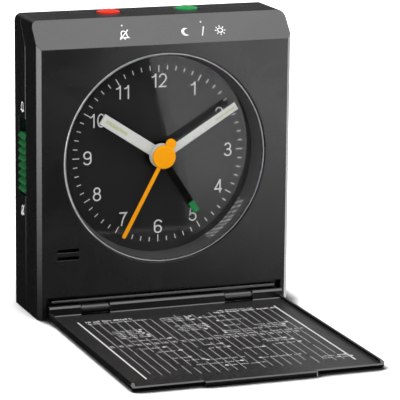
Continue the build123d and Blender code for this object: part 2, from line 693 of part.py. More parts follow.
def alarm_slider():
    """A sliding plate behind the wall, with a ribbed grip that fills the lower part of the slot."""
    plate_y = (SLIDER_SLOT_Y[0] - 0.9, SLIDER_SLOT_Y[1] + 0.9)
    plate = block((SLIDER_FACE_X, SLIDER_BACK_X), plate_y, (29.0, 58.0))
    grip_y = (SLIDER_SLOT_Y[0] + GRIP_CLEARANCE, SLIDER_SLOT_Y[1] - GRIP_CLEARANCE)
    foot_z = SLIDER_SLOT_Z[0] + GRIP_CLEARANCE
    points = [(SLIDER_FACE_X, foot_z)]
    for index in range(RIB_COUNT):
        z = foot_z + index * RIB_PITCH
        points.append((RIB_ROOT_X, z))
        for share in RIB_TIP_SPAN:
            points.append((RIB_TIP_X, z + share * RIB_PITCH))
    points.append((RIB_ROOT_X, foot_z + RIB_COUNT * RIB_PITCH))
    points.append((SLIDER_FACE_X, foot_z + RIB_COUNT * RIB_PITCH))
    plane = Plane(origin=(0, grip_y[1], 0), x_dir=(1, 0, 0), z_dir=(0, -1, 0))
    grip = plane * extrude(make_face(Polyline(*points, close=True)), grip_y[1] - grip_y[0])
    return plate + grip


def slider_contact():
    """A sprung copper strip on the slider's inner side, with two wiping ends."""
    strip = block((SLIDER_BACK_X, SLIDER_BACK_X + 0.2), (1.6, 3.6), (38.0, 50.0))
    for z in (38.6, 49.4):
        strip += block((SLIDER_BACK_X + 0.2, SLIDER_BACK_X + 0.7), (1.6, 3.6), (z - 0.3, z + 0.3))
    return strip


def battery():
    cell = along_x(BATTERY_Y, BATTERY_Z, BATTERY_RADIUS, -BATTERY_LENGTH / 2, BATTERY_LENGTH / 2 - 0.8)
    cell = chamfer(cell.edges(), 0.4)
    return cell + along_x(BATTERY_Y, BATTERY_Z, 1.9, BATTERY_LENGTH / 2 - 0.8, BATTERY_LENGTH / 2)


def battery_contacts():
    """A flat plate for the button end, and a plate with a sprung tongue for the flat end."""
    y = (BATTERY_Y - 4, BATTERY_Y + 4)
    z = (BATTERY_Z - 4, BATTERY_Z + 4)
    plus = block((BATTERY_LENGTH / 2, BATTERY_LENGTH / 2 + 0.4), y, z)
    plus += block((BATTERY_LENGTH / 2 + 0.4, BAY_HALF), (BATTERY_Y - 1, BATTERY_Y + 1), z)
    minus = block((-BAY_HALF, -BAY_HALF + 0.4), y, z)
    plane = Plane(origin=(-BAY_HALF + 0.4, BATTERY_Y, BATTERY_Z), x_dir=(0, 1, 0), z_dir=(1, 0, 0))
    minus += plane * extrude(Circle(3.4), BAY_HALF - 0.4 - BATTERY_LENGTH / 2, taper=35)
    return Compound(children=[plus, minus])


DOOR_GAP = 0.2


def battery_door():
    door = block((-BAY_HALF + DOOR_GAP, BAY_HALF - DOOR_GAP), (BACK - WALL, BACK),
                 (BAY_Z[0] + DOOR_GAP, BAY_Z[1] - DOOR_GAP))
    for index in range(5):
        z = BAY_Z[0] + 2.2 + index * 0.9
        door -= block((-5, 5), (BACK - 0.5, BACK + 1), (z, z + 0.4))
    return door


# ---- movement ---------------------------------------------------------------------------------------

ARBOR_RADIUS = 0.45
ARBOR_PLAY = 0.1            # end play between an arbor's shoulder and the plate
PIVOT_END_GAP = 0.2         # a pivot stops this far short of the dial
MAGNET_RADIUS = 2.1
PLATE_HALF_X = 26.0
PLATE_LOW_Z = DIAL_Z - 16.5
PLATE_HIGH_Z = DIAL_Z + 19.0
PILLARS = [(x, z) for x in (-23.5, 23.5) for z in (PLATE_LOW_Z + 2.5, PLATE_HIGH_Z - 2.5)]
PILLAR_RADIUS = 1.8
STUD_RADIUS = 0.5


def movement_front_plate():
    y = PLATE_FRONT_Y
    plate = block((-PLATE_HALF_X, PLATE_HALF_X), y, (PLATE_LOW_Z, PLATE_HIGH_Z))
    for x, z in HANGER_POSTS:
        corner = (0.0, PLATE_LOW_Z) if x == 0 else (23.0 * (1 if x > 0 else -1), PLATE_HIGH_Z - 1)
        reach = hypot(x - corner[0], z - corner[1])
        middle = ((x + corner[0]) / 2, (z + corner[1]) / 2)
        arm = Pos(middle[0], (y[0] + y[1]) / 2, middle[1]) * Rot(0, clock_angle_of(corner, (x, z)), 0)
        plate += arm * Box(5.0, y[1] - y[0], reach)
        plate += disc((x, z), 2.6, y[0], y[1])
    for point in PILLARS:
        plate += disc(point, PILLAR_RADIUS, y[1], PLATE_BACK_Y[0])
        plate -= disc(point, 0.72, PLATE_BACK_Y[0] - 4, PLATE_BACK_Y[1])
    for point in (MOTION_POINT, IDLER_POINT):
        end = MOTION_LAYER[1] + 0.4 if point is MOTION_POINT else ALARM_LAYER[1] + 0.3
        plate += disc(point, STUD_RADIUS, y[1], end)
    for point in (THIRD_POINT, ROTOR_POINT):
        plate -= disc(point, PIVOT_RADIUS + RUNNING_GAP, y[0] - 1, y[1] + 1)
    plate -= disc(DIAL_CENTRE, ALARM_TUBE + RUNNING_GAP, y[0] - 1, y[1] + 1)
    for point in HANGER_POSTS:
        plate -= disc(point, HANGER_SCREW_RADIUS + 0.1, y[0] - 1, y[1] + 1)
    return plate


def movement_rear_plate():
    y = PLATE_BACK_Y
    plate = block((-PLATE_HALF_X, PLATE_HALF_X), y, (PLATE_LOW_Z, PLATE_HIGH_Z))
    plate += disc(STEP_POINT, STUD_RADIUS, STEP_LAYER[0] - 0.4, y[0])
    for point in (THIRD_POINT, ROTOR_POINT, DIAL_CENTRE):
        plate -= disc(point, PIVOT_RADIUS + RUNNING_GAP, y[0] - 1, y[1] + 1)
    for point in (TIME_KNOB_POINT, ALARM_KNOB_POINT):
        plate -= disc(point, 1.3, y[0] - 1, y[1] + 1)
    for point in PILLARS:
        plate -= disc(point, 0.8, y[0] - 1, y[1] + 1)
    return plate


def plate_screws():
    screws = [disc(p, 1.4, PLATE_BACK_Y[1], PLATE_BACK_Y[1] + 0.6) + disc(p, 0.7, 1.6, PLATE_BACK_Y[1])
              for p in PILLARS]
    return Compound(children=screws)


def hanger_screws():
    seat = PLATE_FRONT_Y[1]
    return Compound(children=[
        disc(p, 2 * HANGER_SCREW_RADIUS, seat, seat + 0.8) + disc(p, HANGER_SCREW_RADIUS, -8.0, seat)
        for p in HANGER_POSTS])


def second_wheel():
    """Wheel, pinion and long arbor that carries the second hand."""
    wheel = gear(DIAL_CENTRE, SECOND_TEETH, STEP_MODULE, *SECOND_LAYER, 0)
    wheel += gear(DIAL_CENTRE, SECOND_PINION, THIRD_MODULE, *wide(THIRD_LAYER), 0)
    wheel += disc(DIAL_CENTRE, SECOND_ARBOR, SECOND_HAND_Y + 0.3, SECOND_LAYER[0])
    return wheel + disc(DIAL_CENTRE, PIVOT_RADIUS, SECOND_LAYER[1], PLATE_BACK_Y[1])


def third_wheel():
    at = meshing(DIAL_CENTRE, SECOND_PINION, 0, THIRD_POINT, THIRD_TEETH)
    wheel = gear(THIRD_POINT, THIRD_TEETH, THIRD_MODULE, *THIRD_LAYER, at)
    pinion_from = CENTRE_LAYER[0] - PINION_OVERLAP
    wheel += gear(THIRD_POINT, THIRD_PINION, CENTRE_MODULE, pinion_from, THIRD_LAYER[0], 0)
    wheel += disc(THIRD_POINT, ARBOR_RADIUS, PLATE_FRONT_Y[1] + ARBOR_PLAY, CENTRE_LAYER[0])
    wheel += disc(THIRD_POINT, ARBOR_RADIUS, THIRD_LAYER[1], PLATE_BACK_Y[0] - ARBOR_PLAY)
    return wheel + disc(THIRD_POINT, PIVOT_RADIUS, PLATE_FRONT_Y[0] + PIVOT_END_GAP, PLATE_BACK_Y[1])


def centre_wheel():
    """Driven by the third wheel; the cannon pinion sits in it with a friction fit."""
    at = meshing(THIRD_POINT, THIRD_PINION, 0, DIAL_CENTRE, CENTRE_TEETH)
    wheel = gear(DIAL_CENTRE, CENTRE_TEETH, CENTRE_MODULE, *CENTRE_LAYER, at)
    return wheel - disc(DIAL_CENTRE, CANNON_TUBE + RUNNING_GAP, CENTRE_LAYER[0] - 1, CENTRE_LAYER[1] + 1)


def cannon_pinion():
    """Carries the minute hand; its tube turns on the second hand's arbor."""
    pinion = gear(DIAL_CENTRE, CANNON_TEETH, MOTION_MODULE, *wide(MOTION_LAYER), 0)
    pinion += disc(DIAL_CENTRE, CANNON_TUBE, MINUTE_HAND_Y, CENTRE_LAYER[1] + 0.4)
    return pinion - disc(DIAL_CENTRE, CANNON_BORE, MINUTE_HAND_Y - 1, CENTRE_LAYER[1] + 1)


def motion_wheel():
    at = meshing(DIAL_CENTRE, CANNON_TEETH, 0, MOTION_POINT, MOTION_TEETH)
    wheel = gear(MOTION_POINT, MOTION_TEETH, MOTION_MODULE, *MOTION_LAYER, at)
    wheel += gear(MOTION_POINT, MOTION_PINION, HOUR_MODULE, HOUR_LAYER[0] - 0.1, MOTION_LAYER[0], 0)
    return wheel - disc(MOTION_POINT, STUD_RADIUS + RUNNING_GAP, HOUR_LAYER[0] - 1, MOTION_LAYER[1] + 1)


def hour_wheel():
    at = meshing(MOTION_POINT, MOTION_PINION, 0, DIAL_CENTRE, HOUR_TEETH)
    wheel = gear(DIAL_CENTRE, HOUR_TEETH, HOUR_MODULE, *HOUR_LAYER, at)
    wheel += disc(DIAL_CENTRE, HOUR_TUBE, HOUR_HAND_Y, HOUR_LAYER[0])
    return wheel - disc(DIAL_CENTRE, HOUR_BORE, HOUR_HAND_Y - 1, HOUR_LAYER[1] + 1)


def knob(point, teeth_at, layer):
    """A setting knob with a fluted rim, its shaft, and the pinion on the shaft's inner end."""
    body = disc(point, KNOB_RADIUS, *KNOB_Y)
    for index in range(KNOB_FLUTES):
        flute = on_dial(KNOB_RADIUS + 0.1, index * 360 / KNOB_FLUTES, point)
        body -= disc(flute, 0.4, KNOB_Y[0] - 1, KNOB_Y[1] + 1)
    body -= disc(point, 3.2, KNOB_Y[1] - 0.5, KNOB_Y[1] + 1)
    body += disc(point, KNOB_SHAFT_RADIUS, layer[1], KNOB_Y[0])
    return body + gear(point, KNOB_TEETH, KNOB_MODULE, *layer, teeth_at)


def time_knob():
    motion_at = meshing(DIAL_CENTRE, CANNON_TEETH, 0, MOTION_POINT, MOTION_TEETH)
    at = meshing(MOTION_POINT, MOTION_TEETH, motion_at, TIME_KNOB_POINT, KNOB_TEETH)
    return knob(TIME_KNOB_POINT, at, wide(MOTION_LAYER))


def idler_phase():
    return meshing(DIAL_CENTRE, ALARM_TEETH, 0, IDLER_POINT, IDLER_TEETH)


def alarm_knob():
    at = meshing(IDLER_POINT, IDLER_TEETH, idler_phase(), ALARM_KNOB_POINT, KNOB_TEETH)
    return knob(ALARM_KNOB_POINT, at, wide(ALARM_LAYER))


def alarm_wheel():
    wheel = gear(DIAL_CENTRE, ALARM_TEETH, ALARM_MODULE, *ALARM_LAYER, 0)
    wheel += disc(DIAL_CENTRE, ALARM_TUBE, ALARM_HAND_Y, ALARM_LAYER[0])
    return wheel - disc(DIAL_CENTRE, ALARM_BORE, ALARM_HAND_Y - 1, ALARM_LAYER[1] + 1)


def alarm_idler():
    wheel = gear(IDLER_POINT, IDLER_TEETH, ALARM_MODULE, *ALARM_LAYER, idler_phase())
    return wheel - disc(IDLER_POINT, STUD_RADIUS + RUNNING_GAP, ALARM_LAYER[0] - 1, ALARM_LAYER[1] + 1)


def step_wheel():
    at = meshing(DIAL_CENTRE, SECOND_TEETH, 0, STEP_POINT, STEP_PINION)
    wheel = gear(STEP_POINT, STEP_TEETH, ROTOR_MODULE, *STEP_LAYER, 0)
    wheel += gear(STEP_POINT, STEP_PINION, STEP_MODULE, STEP_LAYER[1], SECOND_LAYER[1] + PINION_OVERLAP, at)
    return wheel - disc(STEP_POINT, STUD_RADIUS + RUNNING_GAP, STEP_LAYER[0] - 1, PLATE_BACK_Y[0])


def rotor():
    """The step motor's magnet on its arbor, with the pinion that drives the step wheel."""
    at = meshing(STEP_POINT, STEP_TEETH, 0, ROTOR_POINT, ROTOR_TEETH)
    magnet_from = THIRD_LAYER[0] + 0.1
    body = disc(ROTOR_POINT, MAGNET_RADIUS, magnet_from, PLATE_BACK_Y[0] - 0.3)
    body += gear(ROTOR_POINT, ROTOR_TEETH, ROTOR_MODULE, STEP_LAYER[0] - PINION_OVERLAP, magnet_from, at)
    body += disc(ROTOR_POINT, 0.4, PLATE_FRONT_Y[1] + ARBOR_PLAY, STEP_LAYER[0])
    return body + disc(ROTOR_POINT, PIVOT_RADIUS, PLATE_FRONT_Y[0] + PIVOT_END_GAP, PLATE_BACK_Y[1])


STATOR_LAYER = (3.35, 4.0)
COIL_POINT_Z = DIAL_Z + 13.5
COIL_RADIUS = 1.6


def stator():
    """The motor's soft iron frame, round the rotor and through the coil."""
    left, right = 9.4, 21.4
    frame = block((left, right), STATOR_LAYER, (DIAL_Z - 0.8, DIAL_Z + 15.0))
    frame -= block((left + 2.4, right - 2.4), (0, BACK), (DIAL_Z + 7.0, DIAL_Z + 12.3))
    return frame - disc(ROTOR_POINT, MAGNET_RADIUS + 0.3, 0, BACK)


def coil():
    y = (STATOR_LAYER[0] + STATOR_LAYER[1]) / 2 - 0.2
    winding = along_x(y, COIL_POINT_Z, COIL_RADIUS, 12.8, 18.0)
    for x in (12.0, 18.0):
        winding += block((x, x + 0.8), (y - 1.4, y + 1.6), (COIL_POINT_Z - 2.5, COIL_POINT_Z + 2.5))
    return winding - block((10, 22), STATOR_LAYER, (DIAL_Z + 12.3, DIAL_Z + 15.0))


BOARD_LAYER = (7.2, 8.2)


def circuit_board():
    board = block((-24, 24), BOARD_LAYER, (47.5, 73.0))
    return board - block((-4, 4), (0, BACK), (46, 49))


def board_chip():
    return fillet(block((-6, 1), (BOARD_LAYER[1], BOARD_LAYER[1] + 1.1), (56, 63)).edges().group_by(
        Axis.Y)[-1], 0.5)


def crystal():
    return along_x(BOARD_LAYER[1] + 0.9, 68.0, 0.9, 6.0, 12.2)


def lamp():
    x, z = on_dial(33.1, (WINDOW_START + WINDOW_END) / 2)
    return Pos(x, DIAL_FACE_Y - 1.6, z) * Rot(0, 45, 0) * Box(2.2, 1.8, 2.2)


BUZZER_POINT = (-28.6, 17.6)


def buzzer():
    body = disc(BUZZER_POINT, 5.6, FRONT + 2.5, FRONT + 5.0)
    return body - disc(BUZZER_POINT, 1.2, FRONT + 2, FRONT + 3.2)


def buzzer_holder():
    ring_body = ring(BUZZER_POINT, 6.5, 5.6, FRONT + WALL, FRONT + 4.6)
    return ring_body + ring(BUZZER_POINT, 5.6, 4.9, FRONT + WALL, FRONT + 2.5)


# ---- every node ------------------------------------------------------------------------------------------

def build():
    skin = outer_block() - (inner_space(WALL) - hinge_recess(WALL - 0.6))
    return {
        "front_shell": front_shell(skin),
        "rear_shell": rear_shell(skin),
        "case_screws": case_screws(),
        "lens": lens(),
        "dial_funnel": dial_funnel(),
        "light_window": light_window(),
        "dial": dial(),
        "hour_hand": hour_hand(),
        "hour_insert": hour_insert(),
        "minute_hand": minute_hand(),
        "minute_insert": minute_insert(),
        "second_hand": second_hand(),
        "alarm_hand": alarm_hand(),
        "alarm_tip": alarm_tip(),
        "hinge_bar": hinge_bar(),
        "hinge_pins": hinge_pins(),
        "cover": cover(),
        "off_button": push_button(-BUTTON_X),
        "snooze_button": push_button(BUTTON_X),
        "off_dome": rubber_dome(-BUTTON_X),
        "snooze_dome": rubber_dome(BUTTON_X),
        "switch_board": switch_board(),
        "alarm_slider": alarm_slider(),
        "slider_contact": slider_contact(),
        "battery": battery(),
        "battery_contacts": battery_contacts(),
        "battery_door": battery_door(),
        "movement_front_plate": movement_front_plate(),
        "movement_rear_plate": movement_rear_plate(),
        "plate_screws": plate_screws(),
        "hanger_screws": hanger_screws(),
        "second_wheel": second_wheel(),
        "third_wheel": third_wheel(),
        "centre_wheel": centre_wheel(),
        "cannon_pinion": cannon_pinion(),
        "motion_wheel": motion_wheel(),
        "hour_wheel": hour_wheel(),
        "alarm_wheel": alarm_wheel(),
        "alarm_idler": alarm_idler(),
        "time_knob": time_knob(),
        "alarm_knob": alarm_knob(),
        "step_wheel": step_wheel(),
        "rotor": rotor(),
        "stator": stator(),
        "coil": coil(),
        "circuit_board": circuit_board(),
        "board_chip": board_chip(),
        "crystal": crystal(),
        "lamp": lamp(),
        "buzzer": buzzer(),
        "buzzer_holder": buzzer_holder(),
    }


os.makedirs("parts", exist_ok=True)
for name, shape in build().items():
    export_step(shape, f"parts/{name}.step")
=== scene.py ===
import json
import math
import random

import bmesh
import bpy
from mathutils import Matrix, Vector


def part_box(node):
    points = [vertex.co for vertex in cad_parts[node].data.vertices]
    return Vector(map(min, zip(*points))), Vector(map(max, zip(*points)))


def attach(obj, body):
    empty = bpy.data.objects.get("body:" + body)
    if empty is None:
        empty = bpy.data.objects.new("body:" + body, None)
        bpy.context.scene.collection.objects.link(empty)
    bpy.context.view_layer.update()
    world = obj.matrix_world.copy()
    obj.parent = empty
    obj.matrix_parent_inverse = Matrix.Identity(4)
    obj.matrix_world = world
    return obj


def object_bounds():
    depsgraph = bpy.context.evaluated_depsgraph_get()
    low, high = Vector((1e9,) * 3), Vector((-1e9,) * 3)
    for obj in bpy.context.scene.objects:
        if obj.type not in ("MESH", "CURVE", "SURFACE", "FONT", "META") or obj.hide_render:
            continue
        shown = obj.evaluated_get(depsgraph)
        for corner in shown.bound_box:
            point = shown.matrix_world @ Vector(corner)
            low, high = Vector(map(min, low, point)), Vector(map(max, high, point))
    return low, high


# Looks of a folding travel alarm clock, built round its CAD model.
# Metres, in the CAD model's frame: +X to the reader's right, +Y to the back, +Z up.
# Printed marks are drawn in millimetres on flat planes laid on the case, the dial and the cover.

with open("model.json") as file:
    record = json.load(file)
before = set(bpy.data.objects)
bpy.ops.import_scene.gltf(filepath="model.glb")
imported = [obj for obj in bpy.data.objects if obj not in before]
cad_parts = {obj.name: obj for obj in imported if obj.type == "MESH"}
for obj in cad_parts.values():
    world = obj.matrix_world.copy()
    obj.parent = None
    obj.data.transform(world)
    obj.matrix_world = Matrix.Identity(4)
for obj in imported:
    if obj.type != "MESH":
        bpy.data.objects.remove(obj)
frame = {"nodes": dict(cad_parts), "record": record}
cad_low, cad_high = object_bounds()

MM = 0.001

# ---- places taken from the frame -------------------------

case_low, case_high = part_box("front_shell")
dial_low, dial_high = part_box("dial")
dial_middle = (dial_low + dial_high) / 2
rear_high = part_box("rear_shell")[1]
cover_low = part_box("cover")[0]
slider_low, slider_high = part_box("alarm_slider")
alarm_knob_low, alarm_knob_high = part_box("alarm_knob")
time_knob_low, time_knob_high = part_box("time_knob")
red_low, red_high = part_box("off_button")
green_low, green_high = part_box("snooze_button")
battery_low, battery_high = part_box("battery")
lens_low, lens_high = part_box("lens")
lens_middle = (lens_low + lens_high) / 2
LENS_RADIUS = (lens_high.x - lens_low.x) / 2
LENS_BEVEL = 0.45 * MM       # the ground bevel round the lens's front

COVER_SHEET = 1.5 * MM       # thickness of the cover's flat panel
BAND_DEPTH = 6.7 * MM        # how far the sloped band leans back
BAND_HEIGHT = 7.4 * MM       # and how tall it is
INK = 0.02 * MM              # how far printed ink stands proud
INK_ROOT = 0.01 * MM         # and how far it reaches into the surface


# ---- shader groups ---------------------------------------

class Tree:
    """A node tree with short ways to add nodes, set their sockets and join them."""

    def __init__(self, nodes, links):
        self.nodes = nodes
        self.links = links

    def add(self, kind, sockets=None, **settings):
        node = self.nodes.new("ShaderNode" + kind)
        for name, value in settings.items():
            setattr(node, name, value)
        for socket, value in (sockets or {}).items():
            self.feed(node.inputs[socket], value)
        return node

    def feed(self, socket, value):
        """Joins an output to a socket, or sets the socket to a plain value."""
        if isinstance(value, bpy.types.NodeSocket):
            self.links.new(value, socket)
        else:
            socket.default_value = value

    def combine(self, operation, first, second, clamp=False):
        node = self.add("Math", {0: first, 1: second}, operation=operation, use_clamp=clamp)
        return node.outputs[0]

    def times(self, first, second):
        return self.combine("MULTIPLY", first, second)

    def spread(self, value, low, high, to_low=0.0, to_high=1.0):
        """Maps a value from one range to another, held at both ends."""
        node = self.add("MapRange", {"Value": value, "From Min": low, "From Max": high,
                                     "To Min": to_low, "To Max": to_high})
        return node.outputs["Result"]

    def tint(self, share, first, second):
        """The first colour changed to the second by a share that varies over the surface."""
        node = self.add("Mix", data_type="RGBA")
        self.feed(node.inputs[0], share)
        self.feed(node.inputs[6], first)
        self.feed(node.inputs[7], second)
        return node.outputs[2]

    def object_spot(self):
        return self.add("TexCoord").outputs["Object"]

    def place(self, group, sockets):
        node = self.nodes.new("ShaderNodeGroup")
        node.node_tree = group
        for socket, value in sockets.items():
            self.feed(node.inputs[socket], value)
        return node.outputs


def new_group(name, inputs, outputs):
    """An empty shader group: (group, its tree, group input's sockets, group output's sockets)."""
    group = bpy.data.node_groups.new(name, "ShaderNodeTree")
    for label, low, high, default in inputs:
        socket = group.interface.new_socket(label, in_out="INPUT", socket_type="NodeSocketFloat")
        socket.default_value = default
        socket.min_value = low
        socket.max_value = high
    for label, kind in outputs:
        group.interface.new_socket(label, in_out="OUTPUT", socket_type="NodeSocket" + kind)
    tree = Tree(group.nodes, group.links)
    return group, tree, tree.nodes.new("NodeGroupInput").outputs, tree.nodes.new("NodeGroupOutput").inputs


def per_metre(tree, millimetres):
    """The texture scale that makes one cell as wide as that many millimetres."""
    return tree.combine("DIVIDE", 1 / MM, millimetres)


def moulded_grain():
    """The fine texture that a spark-eroded mould leaves on plastic."""
    group, tree, given, made = new_group(
        "moulded grain", [("Grain Size mm", 0.02, 5.0, 0.3)], [("Height", "Float"), ("Mottle", "Float")])
    spot = tree.object_spot()
    scale = per_metre(tree, given["Grain Size mm"])
    pits = tree.add("TexVoronoi", {"Vector": spot, "Scale": scale, "Randomness": 1.0}, feature="SMOOTH_F1")
    fine = tree.add("TexNoise", {"Vector": spot, "Scale": scale, "Detail": 3.0, "Roughness": 0.6})
    deep = tree.times(pits.outputs["Distance"], 0.6)
    shallow = tree.times(fine.outputs["Fac"], 0.6)
    tree.feed(made["Height"], tree.combine("ADD", deep, shallow))
    tree.feed(made["Mottle"], tree.spread(fine.outputs["Fac"], 0.35, 0.65))
    return group


def worn_edges():
    """Edges rounded by the mould and polished by handling; where finishes lighten their edges by this mask,
    the lightening is part real abrasion and part painted highlight.
    """
    group, tree, given, made = new_group(
        "worn and highlit edges", [("Width mm", 0.01, 2.0, 0.15)], [("Edge", "Float"), ("Normal", "Vector")])
    width = tree.times(given["Width mm"], MM)
    rounded = tree.add("Bevel", {"Radius": width}, samples=4)
    flat = tree.add("NewGeometry").outputs["Normal"]
    facing = tree.add("VectorMath", {0: rounded.outputs["Normal"], 1: flat}, operation="DOT_PRODUCT")
    bent = tree.spread(facing.outputs["Value"], 0.995, 0.80)
    spot = tree.object_spot()
    broken = tree.add("TexNoise", {"Vector": spot, "Scale": 900.0, "Detail": 4.0})
    patchy = tree.spread(broken.outputs["Fac"], 0.38, 0.62, 0.35, 1.0)
    tree.feed(made["Edge"], tree.times(bent, patchy))
    tree.feed(made["Normal"], rounded.outputs["Normal"])
    return group


def handled_surface():
    """Faint finger marks in broad patches, and dust that has settled on what faces up."""
    group, tree, given, made = new_group(
        "handled surface", [("Patch Size mm", 1.0, 60.0, 12.0)], [("Smudge", "Float"), ("Dust", "Float")])
    spot = tree.object_spot()
    patches = tree.add("TexNoise", {"Vector": spot, "Scale": per_metre(tree, given["Patch Size mm"]),
                                    "Detail": 5.0, "Roughness": 0.55, "Distortion": 0.6})
    tree.feed(made["Smudge"], tree.spread(patches.outputs["Fac"], 0.36, 0.66))
    specks = tree.add("TexNoise", {"Vector": spot, "Scale": 2600.0, "Detail": 2.0})
    up = tree.add("SeparateXYZ", {0: tree.add("NewGeometry").outputs["Normal"]}).outputs["Z"]
    lying = tree.spread(up, 0.55, 0.95)
    tree.feed(made["Dust"], tree.times(lying, tree.spread(specks.outputs["Fac"], 0.58, 0.72)))
    return group


def settled_grime():
    """Painted shade: corners and grooves darkened by how closed in they are, found by ambient occlusion."""
    group, tree, given, made = new_group(
        "painted groove shade", [("Reach mm", 0.1, 20.0, 1.5)], [("Groove Shade", "Float")])
    reach = tree.times(given["Reach mm"], MM)
    near = tree.add("AmbientOcclusion", {"Distance": reach}, samples=8)
    # painted shade: the less open air around a point, the darker it is painted
    tree.feed(made["Groove Shade"], tree.spread(near.outputs["AO"], 0.90, 0.35))
    return group


GRAIN = moulded_grain()
EDGES = worn_edges()
HANDLED = handled_surface()
GROOVE_SHADE = settled_grime()


# ---- finishes --------------------------------------------

def grey(level):
    return (level, level, level, 1.0)


def toned(colour, scale, lift=0.0):
    """The same colour made darker or lighter."""
    return tuple(min(1.0, part * scale + lift) for part in colour[:3]) + (1.0,)


class Finish(Tree):
    """One material, built round its Principled shader."""

    def __init__(self, name, values=None):
        self.material = bpy.data.materials.new(name)
        self.material.use_nodes = True
        tree = self.material.node_tree
        super().__init__(tree.nodes, tree.links)
        self.shader = tree.nodes["Principled BSDF"]
        self.output = tree.nodes["Material Output"]
        self.set(values or {})

    def set(self, values):
        for socket, value in values.items():
            self.feed(self.shader.inputs[socket], value)

    def dent(self, height, depth_mm, normal=None):
        """Feeds a bump of a real depth to the shader."""
        bump = self.add("Bump", {"Height": height, "Distance": depth_mm * MM, "Strength": 1.0})
        if normal is not None:
            self.feed(bump.inputs["Normal"], normal)
        self.set({"Normal": bump.outputs["Normal"]})


def moulded_plastic(name, colour, roughness, grain_mm, depth_mm, edge_mm=0.12, edge_wear_and_highlight=0.35, dust=0.10,
                    groove_shade_mm=None, shine=0.5):
    """Injection-moulded plastic: grain, polished edges lightened partly by abrasion and partly as a painted
    highlight, finger marks, dust, and painted shade in its grooves.
    """
    finish = Finish(name, {"IOR": 1.5, "Specular IOR Level": shine})
    grain = finish.place(GRAIN, {"Grain Size mm": grain_mm})
    edges = finish.place(EDGES, {"Width mm": edge_mm})
    handled = finish.place(HANDLED, {"Patch Size mm": 14.0})
    speckled = finish.tint(finish.times(grain["Mottle"], 0.35), colour, toned(colour, 1.45, 0.006))
    # edges lightened: part abrasion, part painted highlight along the edges
    worn_and_highlit = finish.tint(finish.times(edges["Edge"], edge_wear_and_highlight), speckled, toned(colour, 1.8, 0.02))
    dust_and_painted_light = finish.tint(finish.times(handled["Dust"], dust), worn_and_highlit, grey(0.35))
    if groove_shade_mm:
        # painted shade in grooves and corners, towards a deep tone of the colour
        groove_shade = finish.place(GROOVE_SHADE, {"Reach mm": groove_shade_mm})["Groove Shade"]
        dust_and_painted_light = finish.tint(groove_shade, dust_and_painted_light, toned(colour, 0.12))
    matt = finish.spread(handled["Smudge"], 0.0, 1.0, roughness + 0.03, roughness - 0.05)
    polished = finish.combine("SUBTRACT", matt, finish.times(edges["Edge"], 0.12))
    finish.set({"Base Color": dust_and_painted_light, "Roughness": polished})
    finish.dent(grain["Height"], depth_mm, edges["Normal"])
    return finish.material


def cover_black():
    """Coarse grain on the sheet's flat faces only; the walls and rims are smooth and darker, and all its
    edges carry a painted highlight.
    """
    finish = Finish("cover black", {"IOR": 1.5, "Specular IOR Level": 0.40})
    grain = finish.place(GRAIN, {"Grain Size mm": 0.70})
    edges = finish.place(EDGES, {"Width mm": 0.15})
    handled = finish.place(HANDLED, {"Patch Size mm": 18.0})
    facing = finish.add("SeparateXYZ", {0: finish.add("TexCoord").outputs["Normal"]}).outputs["Z"]
    flat = finish.spread(finish.combine("ABSOLUTE", facing, 0.0), 0.80, 0.97)
    speckled = finish.tint(grain["Mottle"], (0.001, 0.001, 0.001, 1), (0.015, 0.015, 0.0153, 1))
    body = finish.tint(flat, (0.002, 0.002, 0.0021, 1), speckled)
    # painted highlight: the edges are lit up far past the near-black body, as light lines along every edge
    worn_and_highlit = finish.tint(finish.times(edges["Edge"], 0.9), body, (0.11, 0.11, 0.112, 1))
    matt = finish.spread(handled["Smudge"], 0.0, 1.0, 0.47, 0.39)
    smooth = finish.spread(flat, 0.0, 1.0, 0.5, 1.0)
    finish.set({"Base Color": worn_and_highlit, "Roughness": finish.times(matt, smooth)})
    finish.dent(finish.times(grain["Height"], flat), 0.07, edges["Normal"])
    return finish.material


def window_frost():
    """The frosted plastic over the lamp, ribbed so that it scatters the light."""
    finish = Finish("window frosted", {"IOR": 1.49})
    spot = finish.object_spot()
    ribs = finish.add("TexWave", {"Vector": spot, "Scale": 260.0, "Distortion": 2.5, "Detail": 2.0},
                      bands_direction="DIAGONAL")
    blotches = finish.add("TexNoise", {"Vector": spot, "Scale": 700.0, "Detail": 4.0})
    share = finish.times(finish.spread(ribs.outputs["Fac"], 0.3, 0.8),
                       finish.spread(blotches.outputs["Fac"], 0.35, 0.65))
    finish.set({"Base Color": finish.tint(share, (0.07, 0.072, 0.07, 1), (0.34, 0.35, 0.34, 1)),
                "Roughness": finish.spread(blotches.outputs["Fac"], 0.3, 0.7, 0.25, 0.5)})
    finish.dent(ribs.outputs["Fac"], 0.03)
    return finish.material


def enamelled(name, colour, roughness, shine=0.5):
    """Sheet metal with a smooth stoved enamel that has a faint orange peel."""
    finish = Finish(name, {"IOR": 1.5, "Specular IOR Level": shine})
    grain = finish.place(GRAIN, {"Grain Size mm": 0.5})
    edges = finish.place(EDGES, {"Width mm": 0.08})
    laid = finish.tint(finish.times(grain["Mottle"], 0.5), colour, toned(colour, 0.86))
    thin = finish.tint(finish.times(edges["Edge"], 0.3), laid, toned(colour, 1.15, 0.03))
    finish.set({"Base Color": thin,
                "Roughness": finish.spread(grain["Mottle"], 0.0, 1.0, roughness - 0.04, roughness + 0.05)})
    finish.dent(grain["Height"], 0.003, edges["Normal"])
    return finish.material


